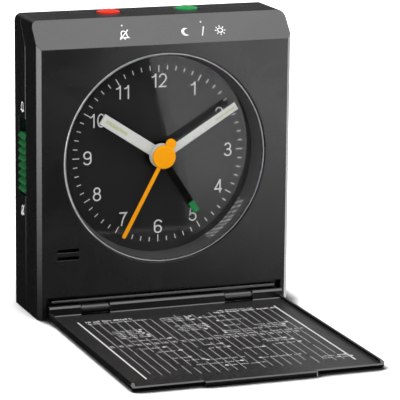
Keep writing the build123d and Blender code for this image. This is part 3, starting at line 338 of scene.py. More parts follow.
def glow_insert():
    """Luminous paste: chalky, and uneven where it was filled in by hand."""
    finish = Finish("hand luminous paste", {"IOR": 1.45})
    spot = finish.object_spot()
    paste = finish.add("TexNoise", {"Vector": spot, "Scale": 2200.0, "Detail": 5.0})
    body = finish.spread(paste.outputs["Fac"], 0.3, 0.7)
    finish.set({"Base Color": finish.tint(body, (0.28, 0.30, 0.17, 1), (0.42, 0.44, 0.29, 1)),
                "Roughness": finish.spread(body, 0.0, 1.0, 0.6, 0.85)})
    finish.dent(paste.outputs["Fac"], 0.02)
    return finish.material


DRAWING_LINE = 0.08 * MM     # from one drawing line to the next on rolled metal


def plated_metal(name, colour, roughness):
    """Rolled and plated sheet or wire, with fine drawing lines and a few dull patches."""
    finish = Finish(name, {"Metallic": 1.0})
    spot = finish.object_spot()
    stretched = finish.add("Mapping", {"Vector": spot, "Scale": (0.06, 1.0, 1.0)})
    lines = finish.add("TexNoise", {"Vector": stretched.outputs["Vector"], "Scale": 1 / DRAWING_LINE,
                                    "Detail": 3.0})
    handled = finish.place(HANDLED, {"Patch Size mm": 4.0})
    edges = finish.place(EDGES, {"Width mm": 0.06})
    dull = finish.tint(finish.times(handled["Smudge"], 0.6), colour, toned(colour, 0.7))
    drawn = finish.spread(lines.outputs["Fac"], 0.3, 0.7, roughness - 0.06, roughness + 0.10)
    finish.set({"Base Color": dull, "Roughness": drawn})
    finish.dent(lines.outputs["Fac"], 0.003, edges["Normal"])
    return finish.material


def copper_wire():
    """A coil of enamelled wire: turns side by side along X."""
    finish = Finish("coil copper wire", {"Metallic": 1.0, "Coat Weight": 0.4})
    spot = finish.object_spot()
    turns = finish.add("TexWave", {"Vector": spot, "Scale": 1400.0, "Distortion": 0.3}, bands_direction="X")
    # painted shade: each turn darker and rougher towards the gaps between turns, lighter on its crest
    share = turns.outputs["Fac"]
    finish.set({"Base Color": finish.tint(share, (0.25, 0.07, 0.02, 1), (0.78, 0.30, 0.12, 1)),
                "Roughness": finish.spread(share, 0.0, 1.0, 0.5, 0.25)})
    finish.dent(share, 0.05)
    return finish.material


def board_green():
    """Solder mask over copper tracks that run in straight lanes."""
    finish = Finish("board solder mask", {"IOR": 1.5})
    spot = finish.object_spot()
    upright = finish.add("Mapping", {"Vector": spot, "Rotation": (math.radians(90), 0, 0)}).outputs["Vector"]
    lanes = finish.add("TexBrick", {"Vector": upright, "Scale": 260.0, "Mortar Size": 0.035,
                                    "Color1": grey(0.0), "Color2": grey(0.0), "Mortar": grey(1.0)})
    weave = finish.add("TexNoise", {"Vector": spot, "Scale": 3000.0, "Detail": 2.0})
    track = lanes.outputs["Fac"]
    finish.set({"Base Color": finish.tint(track, (0.012, 0.10, 0.035, 1), (0.03, 0.23, 0.08, 1)),
                "Roughness": finish.spread(weave.outputs["Fac"], 0.3, 0.7, 0.22, 0.42)})
    finish.dent(track, 0.03)
    return finish.material


RING_PLACE = 0.30            # the coloured ring's distance from the end, as a share of the length
RING_HALF = 4.4 * MM         # half the ring's width
BARE_END = 1.5 * MM          # how much of each end is bare metal


def battery_sleeve():
    """A plain shrink sleeve with one coloured ring, on a cell with bare metal ends."""
    finish = Finish("battery sleeve")
    along = finish.add("SeparateXYZ", {0: finish.object_spot()}).outputs["X"]
    wraps = finish.place(HANDLED, {"Patch Size mm": 6.0})
    length = battery_high.x - battery_low.x
    middle = (battery_low.x + battery_high.x) / 2
    ring_at = battery_high.x - RING_PLACE * length
    near_ring = finish.combine("ABSOLUTE", finish.combine("SUBTRACT", along, ring_at), 0.0)
    ring = finish.spread(near_ring, RING_HALF + 0.2 * MM, RING_HALF)
    near_middle = finish.combine("ABSOLUTE", finish.combine("SUBTRACT", along, middle), 0.0)
    bare = finish.spread(near_middle, length / 2 - BARE_END, length / 2 - BARE_END + 0.1 * MM)
    faded = finish.tint(finish.times(wraps["Smudge"], 0.3), (0.02, 0.035, 0.07, 1), (0.04, 0.06, 0.1, 1))
    ringed = finish.tint(ring, faded, (0.55, 0.30, 0.04, 1))
    finish.set({"Base Color": finish.tint(bare, ringed, (0.62, 0.62, 0.60, 1)), "Metallic": bare,
                "Roughness": finish.spread(wraps["Smudge"], 0.0, 1.0, 0.24, 0.40)})
    finish.dent(wraps["Smudge"], 0.02)
    return finish.material


def lens_clear():
    """Clear acrylic, ground on its bevel: it passes lamp light straight through to the dial."""
    finish = Finish("lens clear acrylic", {
        "Base Color": (0.985, 0.99, 0.99, 1), "Metallic": 0.0, "Transmission Weight": 1.0, "IOR": 1.49,
        "Specular Tint": grey(0.02)})
    across = finish.add("VectorMath", {0: finish.object_spot(), 1: lens_middle}, operation="SUBTRACT")
    flat = finish.add("VectorMath", {0: across.outputs[0], 1: (1, 0, 1)}, operation="MULTIPLY")
    radius = finish.add("VectorMath", {0: flat.outputs[0]}, operation="LENGTH").outputs["Value"]
    ground = finish.spread(radius, LENS_RADIUS - LENS_BEVEL, LENS_RADIUS - 0.8 * LENS_BEVEL)
    handled = finish.place(HANDLED, {"Patch Size mm": 16.0})
    wiped = finish.spread(handled["Smudge"], 0.0, 1.0, 0.0, 0.015)
    finish.set({"Roughness": finish.combine("ADD", wiped, finish.times(ground, 0.45))})
    path = finish.add("LightPath").outputs
    lamp = finish.combine("ADD", path["Is Shadow Ray"], path["Is Diffuse Ray"], clamp=True)
    clear = finish.add("BsdfTransparent", {"Color": (0.95, 0.95, 0.95, 1)})
    choice = finish.add("MixShader", {0: lamp, 1: finish.shader.outputs[0], 2: clear.outputs[0]})
    finish.feed(finish.output.inputs["Surface"], choice.outputs[0])
    return finish.material


def printed_ink(name, colour):
    """Pad-printed ink: a thin film, a little broken over the plastic's grain."""
    finish = Finish(name, {"IOR": 1.48})
    grain = finish.place(GRAIN, {"Grain Size mm": 0.16})
    finish.set({"Base Color": finish.tint(finish.times(grain["Mottle"], 0.7), colour, toned(colour, 0.72)),
                "Roughness": finish.spread(grain["Mottle"], 0.0, 1.0, 0.48, 0.62)})
    finish.dent(grain["Height"], 0.004)
    return finish.material


# the finish of each CAD material slot
FINISHES = {
    "case_black": moulded_plastic(
        "case black", (0.0030, 0.0030, 0.0032, 1), roughness=0.28, grain_mm=0.30, depth_mm=0.003,
        edge_mm=0.22, edge_wear_and_highlight=0.25, dust=0.02, shine=0.40),
    "cover_black": cover_black(),
    "lens_clear": lens_clear(),
    "funnel_black": moulded_plastic(
        "funnel satin black", (0.034, 0.034, 0.035, 1), roughness=0.32, grain_mm=0.22, depth_mm=0.001,
        edge_wear_and_highlight=0.2, dust=0),
    "window_frost": window_frost(),
    "dial_black": moulded_plastic(
        "dial silky black", (0.0145, 0.0145, 0.0148, 1), roughness=0.055, grain_mm=0.12,
        depth_mm=0.0001, edge_wear_and_highlight=0.2, dust=0, shine=0.24),
    "hand_white": enamelled("hand off-white", (0.47, 0.48, 0.46, 1), roughness=0.38),
    "glow_insert": glow_insert(),
    "second_yellow": enamelled(
        "second hand yellow", (0.76, 0.29, 0.0005, 1), roughness=0.42, shine=0.05),
    "alarm_black": enamelled(
        "alarm hand black", (0.0022, 0.0022, 0.0022, 1), roughness=0.55, shine=0.03),
    "alarm_green": enamelled("alarm hand green", (0.006, 0.17, 0.045, 1), roughness=0.36, shine=0.15),
    "button_red": moulded_plastic(
        "button red", (0.60, 0.018, 0.004, 1), roughness=0.16, grain_mm=0.60, depth_mm=0.0015,
        edge_wear_and_highlight=0.05, dust=0.02),
    "button_green": moulded_plastic(
        "button green", (0.010, 0.22, 0.055, 1), roughness=0.16, grain_mm=0.60, depth_mm=0.0015,
        edge_wear_and_highlight=0.05, dust=0.02),
    "slider_green": moulded_plastic(
        "slider green", (0.008, 0.105, 0.030, 1), roughness=0.34, grain_mm=0.30, depth_mm=0.004,
        edge_wear_and_highlight=0.8, dust=0.03, groove_shade_mm=2.0),
    "dome_rubber": moulded_plastic(
        "dome silicone grey", (0.36, 0.36, 0.35, 1), roughness=0.62, grain_mm=0.25, depth_mm=0.006,
        edge_wear_and_highlight=0.05),
    "steel": plated_metal("plated steel", (0.60, 0.60, 0.61, 1), roughness=0.28),
    "contact_brass": plated_metal("contact brass", (0.76, 0.58, 0.30, 1), roughness=0.26),
    "copper_wire": copper_wire(),
    "wheel_white": moulded_plastic(
        "wheel natural white", (0.78, 0.77, 0.70, 1), roughness=0.34, grain_mm=0.50, depth_mm=0.003,
        edge_wear_and_highlight=0.1, dust=0),
    "plate_black": moulded_plastic(
        "movement plate black", (0.045, 0.045, 0.048, 1), roughness=0.50, grain_mm=0.50,
        depth_mm=0.010),
    "magnet_grey": moulded_plastic(
        "magnet sintered grey", (0.10, 0.10, 0.105, 1), roughness=0.55, grain_mm=0.12, depth_mm=0.010,
        edge_wear_and_highlight=0.6, dust=0),
    "board_green": board_green(),
    "chip_black": moulded_plastic(
        "chip resin black", (0.014, 0.014, 0.014, 1), roughness=0.26, grain_mm=0.70, depth_mm=0.006,
        edge_wear_and_highlight=0.2, dust=0),
    "battery_sleeve": battery_sleeve(),
    "lamp_white": moulded_plastic(
        "lamp milky white", (0.80, 0.80, 0.74, 1), roughness=0.18, grain_mm=0.80, depth_mm=0.002,
        edge_wear_and_highlight=0.05, dust=0),
    "knob_black": moulded_plastic(
        "knob black", (0.030, 0.030, 0.031, 1), roughness=0.40, grain_mm=0.35, depth_mm=0.008,
        edge_wear_and_highlight=0.6),
    "buzzer_black": plated_metal("buzzer brass blackened", (0.012, 0.011, 0.010, 1), roughness=0.45)}


def dress_nodes():
    """Gives each CAD node the finish of its material slot."""
    for part in frame["record"]["subparts"]:
        mesh = frame["nodes"][part["node"]].data
        mesh.materials.clear()
        mesh.materials.append(FINISHES[part["material_slot"]])


# ---- meshes made here ------------------------------------

def put(name, data):
    """An object that holds this data, stood in the scene."""
    thing = bpy.data.objects.new(name, data)
    bpy.context.scene.collection.objects.link(thing)
    return thing


def put_mesh(name, mesh, material):
    data = bpy.data.meshes.new(name)
    mesh.to_mesh(data)
    mesh.free()
    data.materials.append(material)
    return put(name, data)


# ---- printed marks: strokes and patches on a plane -------

CURVE_STEPS = 8


def print_plane(origin, right, up):
    """A plane for marks drawn in millimetres: its third axis stands out of the surface."""
    right, up = Vector(right).normalized(), Vector(up).normalized()
    out = right.cross(up)
    axes = Matrix((right, up, out)).transposed().to_4x4()
    return Matrix.Translation(origin) @ axes @ Matrix.Scale(MM, 4)


def arc(centre, radii, start, end):
    """Points along part of an ellipse, from one angle to another in degrees."""
    steps = max(4, int(abs(end - start) / 10))
    turns = [math.radians(start + (end - start) * step / steps) for step in range(steps + 1)]
    return [(centre[0] + radii[0] * math.cos(turn), centre[1] + radii[1] * math.sin(turn)) for turn in turns]


def oval(centre, radii):
    return arc(centre, radii, 0, 360)[:-1]


def curve(start, control, end):
    """Points along a curve that leaves its start towards the control point."""
    points = []
    for step in range(CURVE_STEPS + 1):
        t = step / CURVE_STEPS
        points.append(tuple((1 - t) ** 2 * a + 2 * t * (1 - t) * b + t * t * c
                            for a, b, c in zip(start, control, end)))
    return points


def moved(points, shift, scale=1.0, turn=0.0):
    """Points turned by an angle in degrees, then scaled, then shifted."""
    c, s = math.cos(math.radians(turn)), math.sin(math.radians(turn))
    return [(shift[0] + scale * (x * c - y * s), shift[1] + scale * (x * s + y * c)) for x, y in points]


class Marks:
    """A mesh of thin raised marks on one plane."""

    SHARPEST = 0.4              # a mitre is never longer than the line's half width over this
    CROSSING_DROP = 0.003 * MM

    def __init__(self, plane):
        self.plane = plane
        self.mesh = bmesh.new()
        self.lift = 0.0

    def corner(self, point, height):
        return self.mesh.verts.new(self.plane @ Vector((point[0], point[1], height / MM)))

    def patch(self, outline):
        """A filled outline."""
        foot = [self.corner(p, -INK_ROOT) for p in outline]
        top = [self.corner(p, INK + self.lift) for p in outline]
        self.mesh.faces.new(foot)
        self.mesh.faces.new(top)
        for index in range(len(outline)):
            after = (index + 1) % len(outline)
            self.mesh.faces.new((foot[index], foot[after], top[after], top[index]))

    def dot(self, centre, radius):
        self.patch(oval(centre, (radius, radius)))

    def bar(self, low, high):
        self.patch([(low[0], low[1]), (high[0], low[1]), (high[0], high[1]), (low[0], high[1])])

    def stroke(self, path, width, closed=False):
        """A line of constant width along a path, with mitred corners."""
        path = [Vector(point) for point in path]
        rings = []
        for index, point in enumerate(path):
            last = index == len(path) - 1
            into = point - path[index - 1] if index or closed else path[1] - point
            out = into if last and not closed else path[(index + 1) % len(path)] - point
            into.normalize()
            out.normalize()
            side = Vector((-into.y, into.x))
            across = Vector((-into.y - out.y, into.x + out.x)).normalized()
            reach = across * (width / 2 / max(self.SHARPEST, across.dot(side)))
            edges = ((point + reach, -INK_ROOT), (point - reach, -INK_ROOT),
                     (point - reach, INK + self.lift), (point + reach, INK + self.lift))
            rings.append([self.corner(edge, height) for edge, height in edges])
        following = rings[1:] + rings[:1] if closed else rings[1:]
        for ring, after in zip(rings, following):
            for index in range(4):
                nearby = (index + 1) % 4
                self.mesh.faces.new((ring[index], after[index], after[nearby], ring[nearby]))
        if not closed:
            self.mesh.faces.new(rings[0])
            self.mesh.faces.new(rings[-1])
        # every other stroke is a hair lower, so that the tops of two that cross don't lie in one plane
        self.lift = 0.0 if self.lift else -self.CROSSING_DROP

    def finish(self, name, material, body, slot):
        bmesh.ops.recalc_face_normals(self.mesh, faces=self.mesh.faces)
        piece = put_mesh(name, self.mesh, material)
        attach(piece, body)


# ---- dial print ------------------------------------------

HOUR_TURN = 30                # degrees on the dial
MINUTE_TURN = 6
FIGURE_HEIGHT = 4.0           # millimetres, as are all sizes on print planes
FIGURE_WIDTH = 0.62           # this and the next two in figure heights
FIGURE_ADVANCE = 0.615        # from one figure to the next in 10, 11 and 12
FIGURE_STROKE = 0.100
FIGURE_RING = 21.3            # radius of the figures' centres
TICK_OUTER = 25.75            # radius of the ticks' outer ends
HOUR_TICK = 2.0
MINUTE_TICK = 1.3
TICK_WIDTH = 0.26


def figure_paths(figure):
    """The strokes of one figure, one unit tall, as (path, closed) pairs: a nine is a six turned over."""
    if figure == "0":
        return [(oval((0.31, 0.5), (0.25, 0.45)), True)]
    if figure == "1":
        return [([(0.39, 0.0), (0.39, 1.0)], False),
                (curve((0.08, 0.755), (0.33, 0.77), (0.37, 0.97)), False)]
    if figure == "2":
        return [(arc((0.31, 0.68), (0.25, 0.27), 172, -28)
                 + curve((0.53, 0.55), (0.43, 0.37), (0.07, 0.05))[1:] + [(0.585, 0.05)], False)]
    if figure == "3":
        return [(arc((0.29, 0.73), (0.215, 0.22), 165, -90) + [(0.21, 0.51)], False),
                ([(0.24, 0.53)] + arc((0.295, 0.29), (0.255, 0.24), 90, -168), False)]
    if figure == "4":
        return [([(0.45, 0.0), (0.45, 1.0)], False), ([(0.44, 0.95), (0.06, 0.28), (0.61, 0.28)], False)]
    if figure == "5":
        return [([(0.55, 0.95), (0.155, 0.95)] + arc((0.30, 0.315), (0.26, 0.265), 142, -165), False)]
    if figure == "6":
        return [(oval((0.315, 0.30), (0.255, 0.25)), True),
                (arc((0.33, 0.69), (0.27, 0.26), 22, 180) + [(0.06, 0.30)], False)]
    if figure == "7":
        return [([(0.045, 0.95)] + curve((0.575, 0.95), (0.27, 0.56), (0.21, 0.0)), False)]
    if figure == "8":
        return [(oval((0.31, 0.745), (0.215, 0.205)), True), (oval((0.31, 0.295), (0.255, 0.245)), True)]
    return [(moved(path, (FIGURE_WIDTH, 1.0), 1.0, 180), closed) for path, closed in figure_paths("6")]


def clock_point(radius, clock_angle):
    """A point at an angle in degrees, clockwise from the top."""
    turn = math.radians(clock_angle)
    return (radius * math.sin(turn), radius * math.cos(turn))


def dial_print(ink):
    plane = print_plane((dial_middle.x, dial_low.y, dial_middle.z), (1, 0, 0), (0, 0, 1))
    figures = Marks(plane)
    for hour in range(1, 13):
        centre = clock_point(FIGURE_RING, hour * HOUR_TURN)
        figures_here = str(hour)
        width = FIGURE_WIDTH + FIGURE_ADVANCE * (len(figures_here) - 1)
        left = centre[0] - width * FIGURE_HEIGHT / 2
        foot = centre[1] - FIGURE_HEIGHT / 2
        for place, figure in enumerate(figures_here):
            corner = (left + place * FIGURE_ADVANCE * FIGURE_HEIGHT, foot)
            for path, closed in figure_paths(figure):
                figures.stroke(moved(path, corner, FIGURE_HEIGHT), FIGURE_STROKE * FIGURE_HEIGHT, closed)
    figures.finish("dial_figures", ink, "case", "hand_white")
    ticks = Marks(plane)
    for minute in range(60):
        length = HOUR_TICK if minute % 5 == 0 else MINUTE_TICK
        inner = clock_point(TICK_OUTER - length, minute * MINUTE_TURN)
        ticks.stroke([inner, clock_point(TICK_OUTER, minute * MINUTE_TURN)], TICK_WIDTH)
    ticks.finish("dial_ticks", ink, "case", "hand_white")


# ---- lens edge -------------------------------------------

LENS_EDGE_WIDTH = 0.22 * MM
LENS_EDGE_PROUD = 0.01 * MM   # how far the line stands out of the lens
LENS_EDGE_STEPS = 180


def lens_edge_finish():
    """Acrylic ground with fine grit: pale, with a painted glow in patches that stands in for the light the
    lens gathers.
    """
    finish = Finish("lens edge acrylic with painted glow", {"IOR": 1.49, "Emission Strength": 0.32})
    grit = finish.add("TexNoise", {"Vector": finish.object_spot(), "Scale": 3500.0, "Detail": 3.0})
    handled = finish.place(HANDLED, {"Patch Size mm": 5.0})
    finish.set({"Base Color": finish.tint(handled["Smudge"], grey(0.70), grey(0.92)),
                # painted glow: emission whose colour varies in patches, though the ring is no lamp
                "Emission Color": finish.tint(handled["Smudge"], grey(0.45), grey(1.0)),
                "Roughness": finish.spread(grit.outputs["Fac"], 0.3, 0.7, 0.20, 0.34)})
    finish.dent(grit.outputs["Fac"], 0.006)
    return finish.material


def lens_edge():
    """The thin ground line on the outer part of the lens's bevel: pale ground acrylic with a painted glow,
    for the bright line round the lens.
    """
    inset = LENS_EDGE_WIDTH / math.sqrt(2)
    section = [(LENS_RADIUS - inset, LENS_BEVEL - inset), (LENS_RADIUS, LENS_BEVEL)]
    section += [(radius + LENS_EDGE_PROUD, depth - LENS_EDGE_PROUD) for radius, depth in reversed(section)]
    mesh = bmesh.new()
    rings = []
    for step in range(LENS_EDGE_STEPS):
        turn = 2 * math.pi * step / LENS_EDGE_STEPS
        rings.append([mesh.verts.new((lens_middle.x + radius * math.cos(turn), lens_low.y + depth,
                                      lens_middle.z + radius * math.sin(turn)))
                      for radius, depth in section])
    for ring, after in zip(rings, rings[1:] + rings[:1]):
        for index in range(len(section)):
            nearby = (index + 1) % len(section)
            mesh.faces.new((ring[index], ring[nearby], after[nearby], after[index]))
    bmesh.ops.recalc_face_normals(mesh, faces=mesh.faces)
    piece = put_mesh("lens_edge", mesh, lens_edge_finish())
    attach(piece, "case")


# ---- signs on the case -----------------------------------

ARROW_WIDTH = 0.35
ARROW_HEAD = [(0.9, 0), (-0.5, 0.75), (-0.5, -0.75)]


def bell(marks, centre, size, struck_out=False):
    """A small bell, the sign for the alarm, with a bar across it for silence."""
    line = 0.11 * size
    dome = arc((0, 0.05), (0.28, 0.38), 180, 0)
    outline = [(-0.42, -0.35), (-0.28, -0.18)] + dome + [(0.28, -0.18), (0.42, -0.35)]
    marks.stroke(moved(outline, centre, size), line, closed=True)
    marks.dot((centre[0], centre[1] - 0.47 * size), 0.09 * size)
    if struck_out:
        marks.stroke(moved([(-0.5, -0.55), (0.5, 0.55)], centre, size), line)


def moon(marks, centre, size):
    """A crescent, the sign for dozing on."""
    outer = arc((0, 0), (0.5, 0.5), 60, 300)
    inner = arc((0.22, 0), (0.40, 0.40), 285, 75)
    marks.patch(moved(outer + inner, centre, size))


def sun(marks, centre, size):
    """A disc with rays, the sign for the dial light."""
    marks.stroke(moved(oval((0, 0), (0.24, 0.24)), centre, size), 0.1 * size, closed=True)
    for ray in range(8):
        foot, tip = clock_point(0.36, ray * 45), clock_point(0.54, ray * 45)
        marks.stroke(moved([foot, tip], centre, size), 0.09 * size)


def little_clock(marks, centre, size):
    """A ring with two hands, the sign for setting the time."""
    marks.stroke(moved(oval((0, 0), (0.45, 0.45)), centre, size), 0.1 * size, closed=True)
    marks.stroke(moved([(0, 0.3), (0, 0), (0.2, 0)], centre, size), 0.1 * size)


def turn_arrow(marks, centre, radius, start, end):
    """An arc with an arrow head, along the way that a knob turns."""
    path = arc(centre, (radius, radius), start, end)
    marks.stroke(path, ARROW_WIDTH)
    heading = end + (90 if end > start else -90)
    marks.patch(moved(ARROW_HEAD, path[-1], 1.0, heading))


BAND_MARK_RISE = 3.9          # the signs' height up the slope of the band
BAND_DOT_RISE = 7.0
BAND_DOT = 0.22               # radius
BAND_PAIR_REACH = 5.2         # from the green button's line to the moon and to the sun
BAND_BELL = 2.9
BAND_MOON = 2.6
BAND_SUN = 3.0
BAND_SLASH = (0.5, 1.5)       # half the width and height of the line between moon and sun
BAND_SLASH_WIDTH = 0.28


def band_signs(ink):
    """Signs on the sloped band, below two small dots that point to the buttons."""
    foot = (0, case_low.y, case_high.z - BAND_HEIGHT)
    marks = Marks(print_plane(foot, (1, 0, 0), (0, BAND_DEPTH, BAND_HEIGHT)))
    red_x = (red_low.x + red_high.x) / 2 / MM
    green_x = (green_low.x + green_high.x) / 2 / MM
    for x in (red_x, green_x):
        marks.dot((x, BAND_DOT_RISE), BAND_DOT)
    bell(marks, (red_x, BAND_MARK_RISE), BAND_BELL, struck_out=True)
    moon(marks, (green_x - BAND_PAIR_REACH, BAND_MARK_RISE), BAND_MOON)
    lean, rise = BAND_SLASH
    marks.stroke([(green_x - lean, BAND_MARK_RISE - rise), (green_x + lean, BAND_MARK_RISE + rise)],
                 BAND_SLASH_WIDTH)
    sun(marks, (green_x + BAND_PAIR_REACH, BAND_MARK_RISE), BAND_SUN)
    marks.finish("band_signs", ink, "case", "hand_white")


SIDE_SIGN_RISE = 15.6         # from the slider's middle up to the bell
SIDE_SIGN_DROP = 14.4         # and down to the silenced bell
SIDE_SIGN_SIZE = 3.0


def side_signs(ink):
    """A bell above the slider and a silenced bell below it."""
    middle_y = (slider_low.y + slider_high.y) / 2
    marks = Marks(print_plane((case_low.x, middle_y, 0), (0, -1, 0), (0, 0, 1)))
    middle_z = (slider_low.z + slider_high.z) / 2 / MM
    bell(marks, (0, middle_z + SIDE_SIGN_RISE), SIDE_SIGN_SIZE)
    bell(marks, (0, middle_z - SIDE_SIGN_DROP), SIDE_SIGN_SIZE, struck_out=True)
    marks.finish("side_signs", ink, "case", "hand_white")


BACK_SIGN_RISE = 11.6         # from the knobs' middle up to their signs
BACK_CLOCK = 3.4
BACK_BELL = 3.2
BACK_ARROW = 9.6              # radius of the arrows' arcs
BACK_ARROW_SHIFT = 1.0        # how far those arcs' centres lie outside the knobs' middles


def back_signs(ink):
    """Signs and turning arrows by the two setting knobs."""
    knob_z = (time_knob_low.z + time_knob_high.z) / 2
    marks = Marks(print_plane((0, rear_high.y, knob_z), (-1, 0, 0), (0, 0, 1)))
    time_x = -(time_knob_low.x + time_knob_high.x) / 2 / MM
    alarm_x = -(alarm_knob_low.x + alarm_knob_high.x) / 2 / MM
    little_clock(marks, (time_x, BACK_SIGN_RISE), BACK_CLOCK)
    bell(marks, (alarm_x, BACK_SIGN_RISE), BACK_BELL)
    turn_arrow(marks, (time_x - BACK_ARROW_SHIFT, 0), BACK_ARROW, 215, 150)
    turn_arrow(marks, (alarm_x + BACK_ARROW_SHIFT, 0), BACK_ARROW, -35, 30)
    marks.finish("back_signs", ink, "case", "hand_white")


# ---- chart on the inside of the cover --------------------

CHART_HALF = 29.6             # from the middle to each border
CHART_BACK = -22.3            # where the chart ends at the back and at the front
CHART_FRONT = -81.3
CHART_LINES = 22
CHART_MARGIN = 27.5           # from the middle to where the headings start on the left
BORDER_WIDTH = 0.5
HAIRLINE = 0.12
DASH_TALL = 0.70              # height of the small print
DASH_SHARES = (0.62, 0.62, 0.8, 1.0)
DASH_WIDE = (0.2, 0.36)
DASH_PITCH = (0.44, 0.6)
DASH_CLUMP = (3, 8)           # how many dashes stand together
CLUMP_GAP = 0.55


def word_row(marks, chance, x, y, length, height=DASH_TALL):
    """A row of tiny upright dashes in clumps: it has the texture of small print and says nothing."""
    end = x + length
    while x < end:
        for _ in range(chance.randint(*DASH_CLUMP)):
            if x >= end:
                break
            top = height * chance.choice(DASH_SHARES)
            marks.bar((x, y), (x + chance.uniform(*DASH_WIDE), y + top))
            x += chance.uniform(*DASH_PITCH)
        x += CLUMP_GAP


def chart_line(marks, chance, x):
    """A fine line from back to front, broken here and there for the small print."""
    y = CHART_BACK - chance.uniform(0.4, 4.0)
    front = CHART_FRONT + chance.uniform(0.2, 1.5)
    while y > front + 4:
        end = max(y - chance.uniform(14.0, 34.0), front)
        marks.bar((x - HAIRLINE / 2, end), (x + HAIRLINE / 2, y))
        y = end - chance.uniform(1.2, 3.0)


# where the small print stands: share of the width, share of the depth, length, rows, side of the dots
CHART_PRINT = [
    (0.11, 0.22, 8.5, 5, 1), (0.40, 0.06, 7.5, 3, 1), (0.42, 0.21, 8.0, 4, 1), (0.61, 0.10, 6.5, 1, -1),
    (0.67, 0.18, 7.0, 1, -1), (0.66, 0.27, 3.5, 1, -1), (0.63, 0.36, 8.0, 2, -1), (0.78, 0.30, 8.5, 3, 1),
    (0.13, 0.40, 10.5, 1, 1), (0.14, 0.54, 5.5, 1, 1), (0.20, 0.61, 5.5, 1, 1), (0.44, 0.56, 5.0, 1, 1),
    (0.45, 0.62, 5.0, 1, 1), (0.58, 0.67, 6.0, 1, 1), (0.73, 0.56, 6.5, 2, 1), (0.77, 0.64, 8.0, 1, 1),
    (0.22, 0.73, 4.0, 1, 1), (0.25, 0.78, 5.0, 1, 1), (0.38, 0.80, 10.5, 1, -1), (0.30, 0.86, 12.0, 1, 1),
    (0.42, 0.91, 10.5, 1, -1), (0.62, 0.84, 11.5, 1, -1), (0.86, 0.91, 7.0, 2, 1)]
CHART_ROW = 1.75              # from one row of print to the next
CHART_SCALE = 0.455           # share of the depth where the scale of short marks runs
SCALE_PRINT = (2.0, 1.6, 27.0)   # the print above the scale: left end, rise, length
CHART_DOT = 0.55              # radius

# headings at the back of the chart: left end, drop from its back edge, length, height
CHART_HEADINGS = [
    (-CHART_MARGIN, 1.4, 13.5, 1.5), (-CHART_MARGIN, 3.2, 18.5, DASH_TALL),
    (12.0, 0.6, 11.0, 1.0), (10.5, 2.4, 18.5, 1.3)]

# bars of the scale at each line, in shares of the pitch and in millimetres: from, to, low, high
SCALE_BARS = [(0.8, 0.35, 0.0, 0.3), (0.7, 0.6, -1.2, -0.4), (0.45, 0.35, -1.2, -0.4)]


def cover_chart(ink):
    """A generic zone chart: two bold borders, fine lines, a scale, and dots with rows of dashes."""
    chance = random.Random(7)
    marks = Marks(print_plane((0, 0, COVER_SHEET), (1, 0, 0), (0, 1, 0)))
    depth = CHART_BACK - CHART_FRONT
    for side in (-1, 1):
        x = side * CHART_HALF
        marks.bar((x - BORDER_WIDTH / 2, CHART_FRONT), (x + BORDER_WIDTH / 2, CHART_BACK))
    pitch = 2 * CHART_HALF / (CHART_LINES + 1)
    scale_y = CHART_BACK - CHART_SCALE * depth
    for index in range(1, CHART_LINES + 1):
        x = -CHART_HALF + index * pitch
        chart_line(marks, chance, x)
        for left, right, low, high in SCALE_BARS:
            marks.bar((x - left * pitch, scale_y + low), (x - right * pitch, scale_y + high))
    for left, drop, length, height in CHART_HEADINGS:
        word_row(marks, chance, left, CHART_BACK - drop, length, height)
    left, rise, length = SCALE_PRINT
    word_row(marks, chance, left, scale_y + rise, length)
    for across, along, length, rows, side in CHART_PRINT:
        for row in range(rows):
            x = -CHART_HALF + 2 * CHART_HALF * across + chance.uniform(-0.8, 0.8)
            y = CHART_BACK - depth * along - row * CHART_ROW
            here = length * chance.uniform(0.8, 1.1)
            word_row(marks, chance, x, y, here)
            marks.dot((x + here + 0.7 if side > 0 else x - 0.9, y + 0.45), CHART_DOT)
    marks.finish("cover_chart", ink, "cover", "hand_white")


# ---- floor, light and camera -----------------------------

FLOOR_HALF = 6.0
FLOOR_GAP = 0.02 * MM         # between the lowest foot and the floor
FLOOR_MIDDLE = (0, -0.04, 0)  # below the middle of the open clock
FLOOR_GLOW = 0.25             # the glow beside the clock, as a share of the full glow
GLOW_NEAR = 0.08              # how far from the middle the glow starts to rise
GLOW_FAR = 0.30               # and where it is full
CONTACT_REACH = 10 * MM       # how far the shade under the edges spreads
CONTACT_SIDE = (-0.30, 0.92, 0.25)   # the shade falls on the side away from this
CONTACT_DARK = 0.66           # share of open air where the shade is full
CONTACT_CLEAR = 0.84          # and where it ends


def floor():
    """A wide glowing sheet of pale board, with a soft shade beside what stands on it."""
    finish = Finish("floor pale board", {"Roughness": 0.9, "Specular IOR Level": 0.1})
    spot = finish.object_spot()
    fibres = finish.add("TexNoise", {"Vector": spot, "Scale": 300.0, "Detail": 4.0})
    away = finish.add("VectorMath", {0: spot, 1: FLOOR_MIDDLE}, operation="DISTANCE").outputs["Value"]
    glow = finish.spread(away, GLOW_NEAR, GLOW_FAR, FLOOR_GLOW, 1.0)
    towards = finish.add("CombineXYZ", dict(enumerate(CONTACT_SIDE))).outputs[0]
    near = finish.add("AmbientOcclusion", {"Distance": CONTACT_REACH, "Normal": towards}, samples=16)
    open_air = finish.spread(near.outputs["AO"], CONTACT_DARK, CONTACT_CLEAR)
    board = finish.tint(fibres.outputs["Fac"], grey(0.90), grey(0.94))
    finish.set({"Base Color": finish.tint(open_air, grey(0.02), board),
                "Emission Color": grey(1.0), "Emission Strength": finish.times(glow, open_air)})
    mesh = bmesh.new()
    bmesh.ops.create_grid(mesh, x_segments=2, y_segments=2, size=FLOOR_HALF)
    sheet = put_mesh("floor", mesh, finish.material)
    sheet.location.z = cad_low.z - FLOOR_GAP
    sheet.visible_glossy = False
    sheet.visible_transmission = False


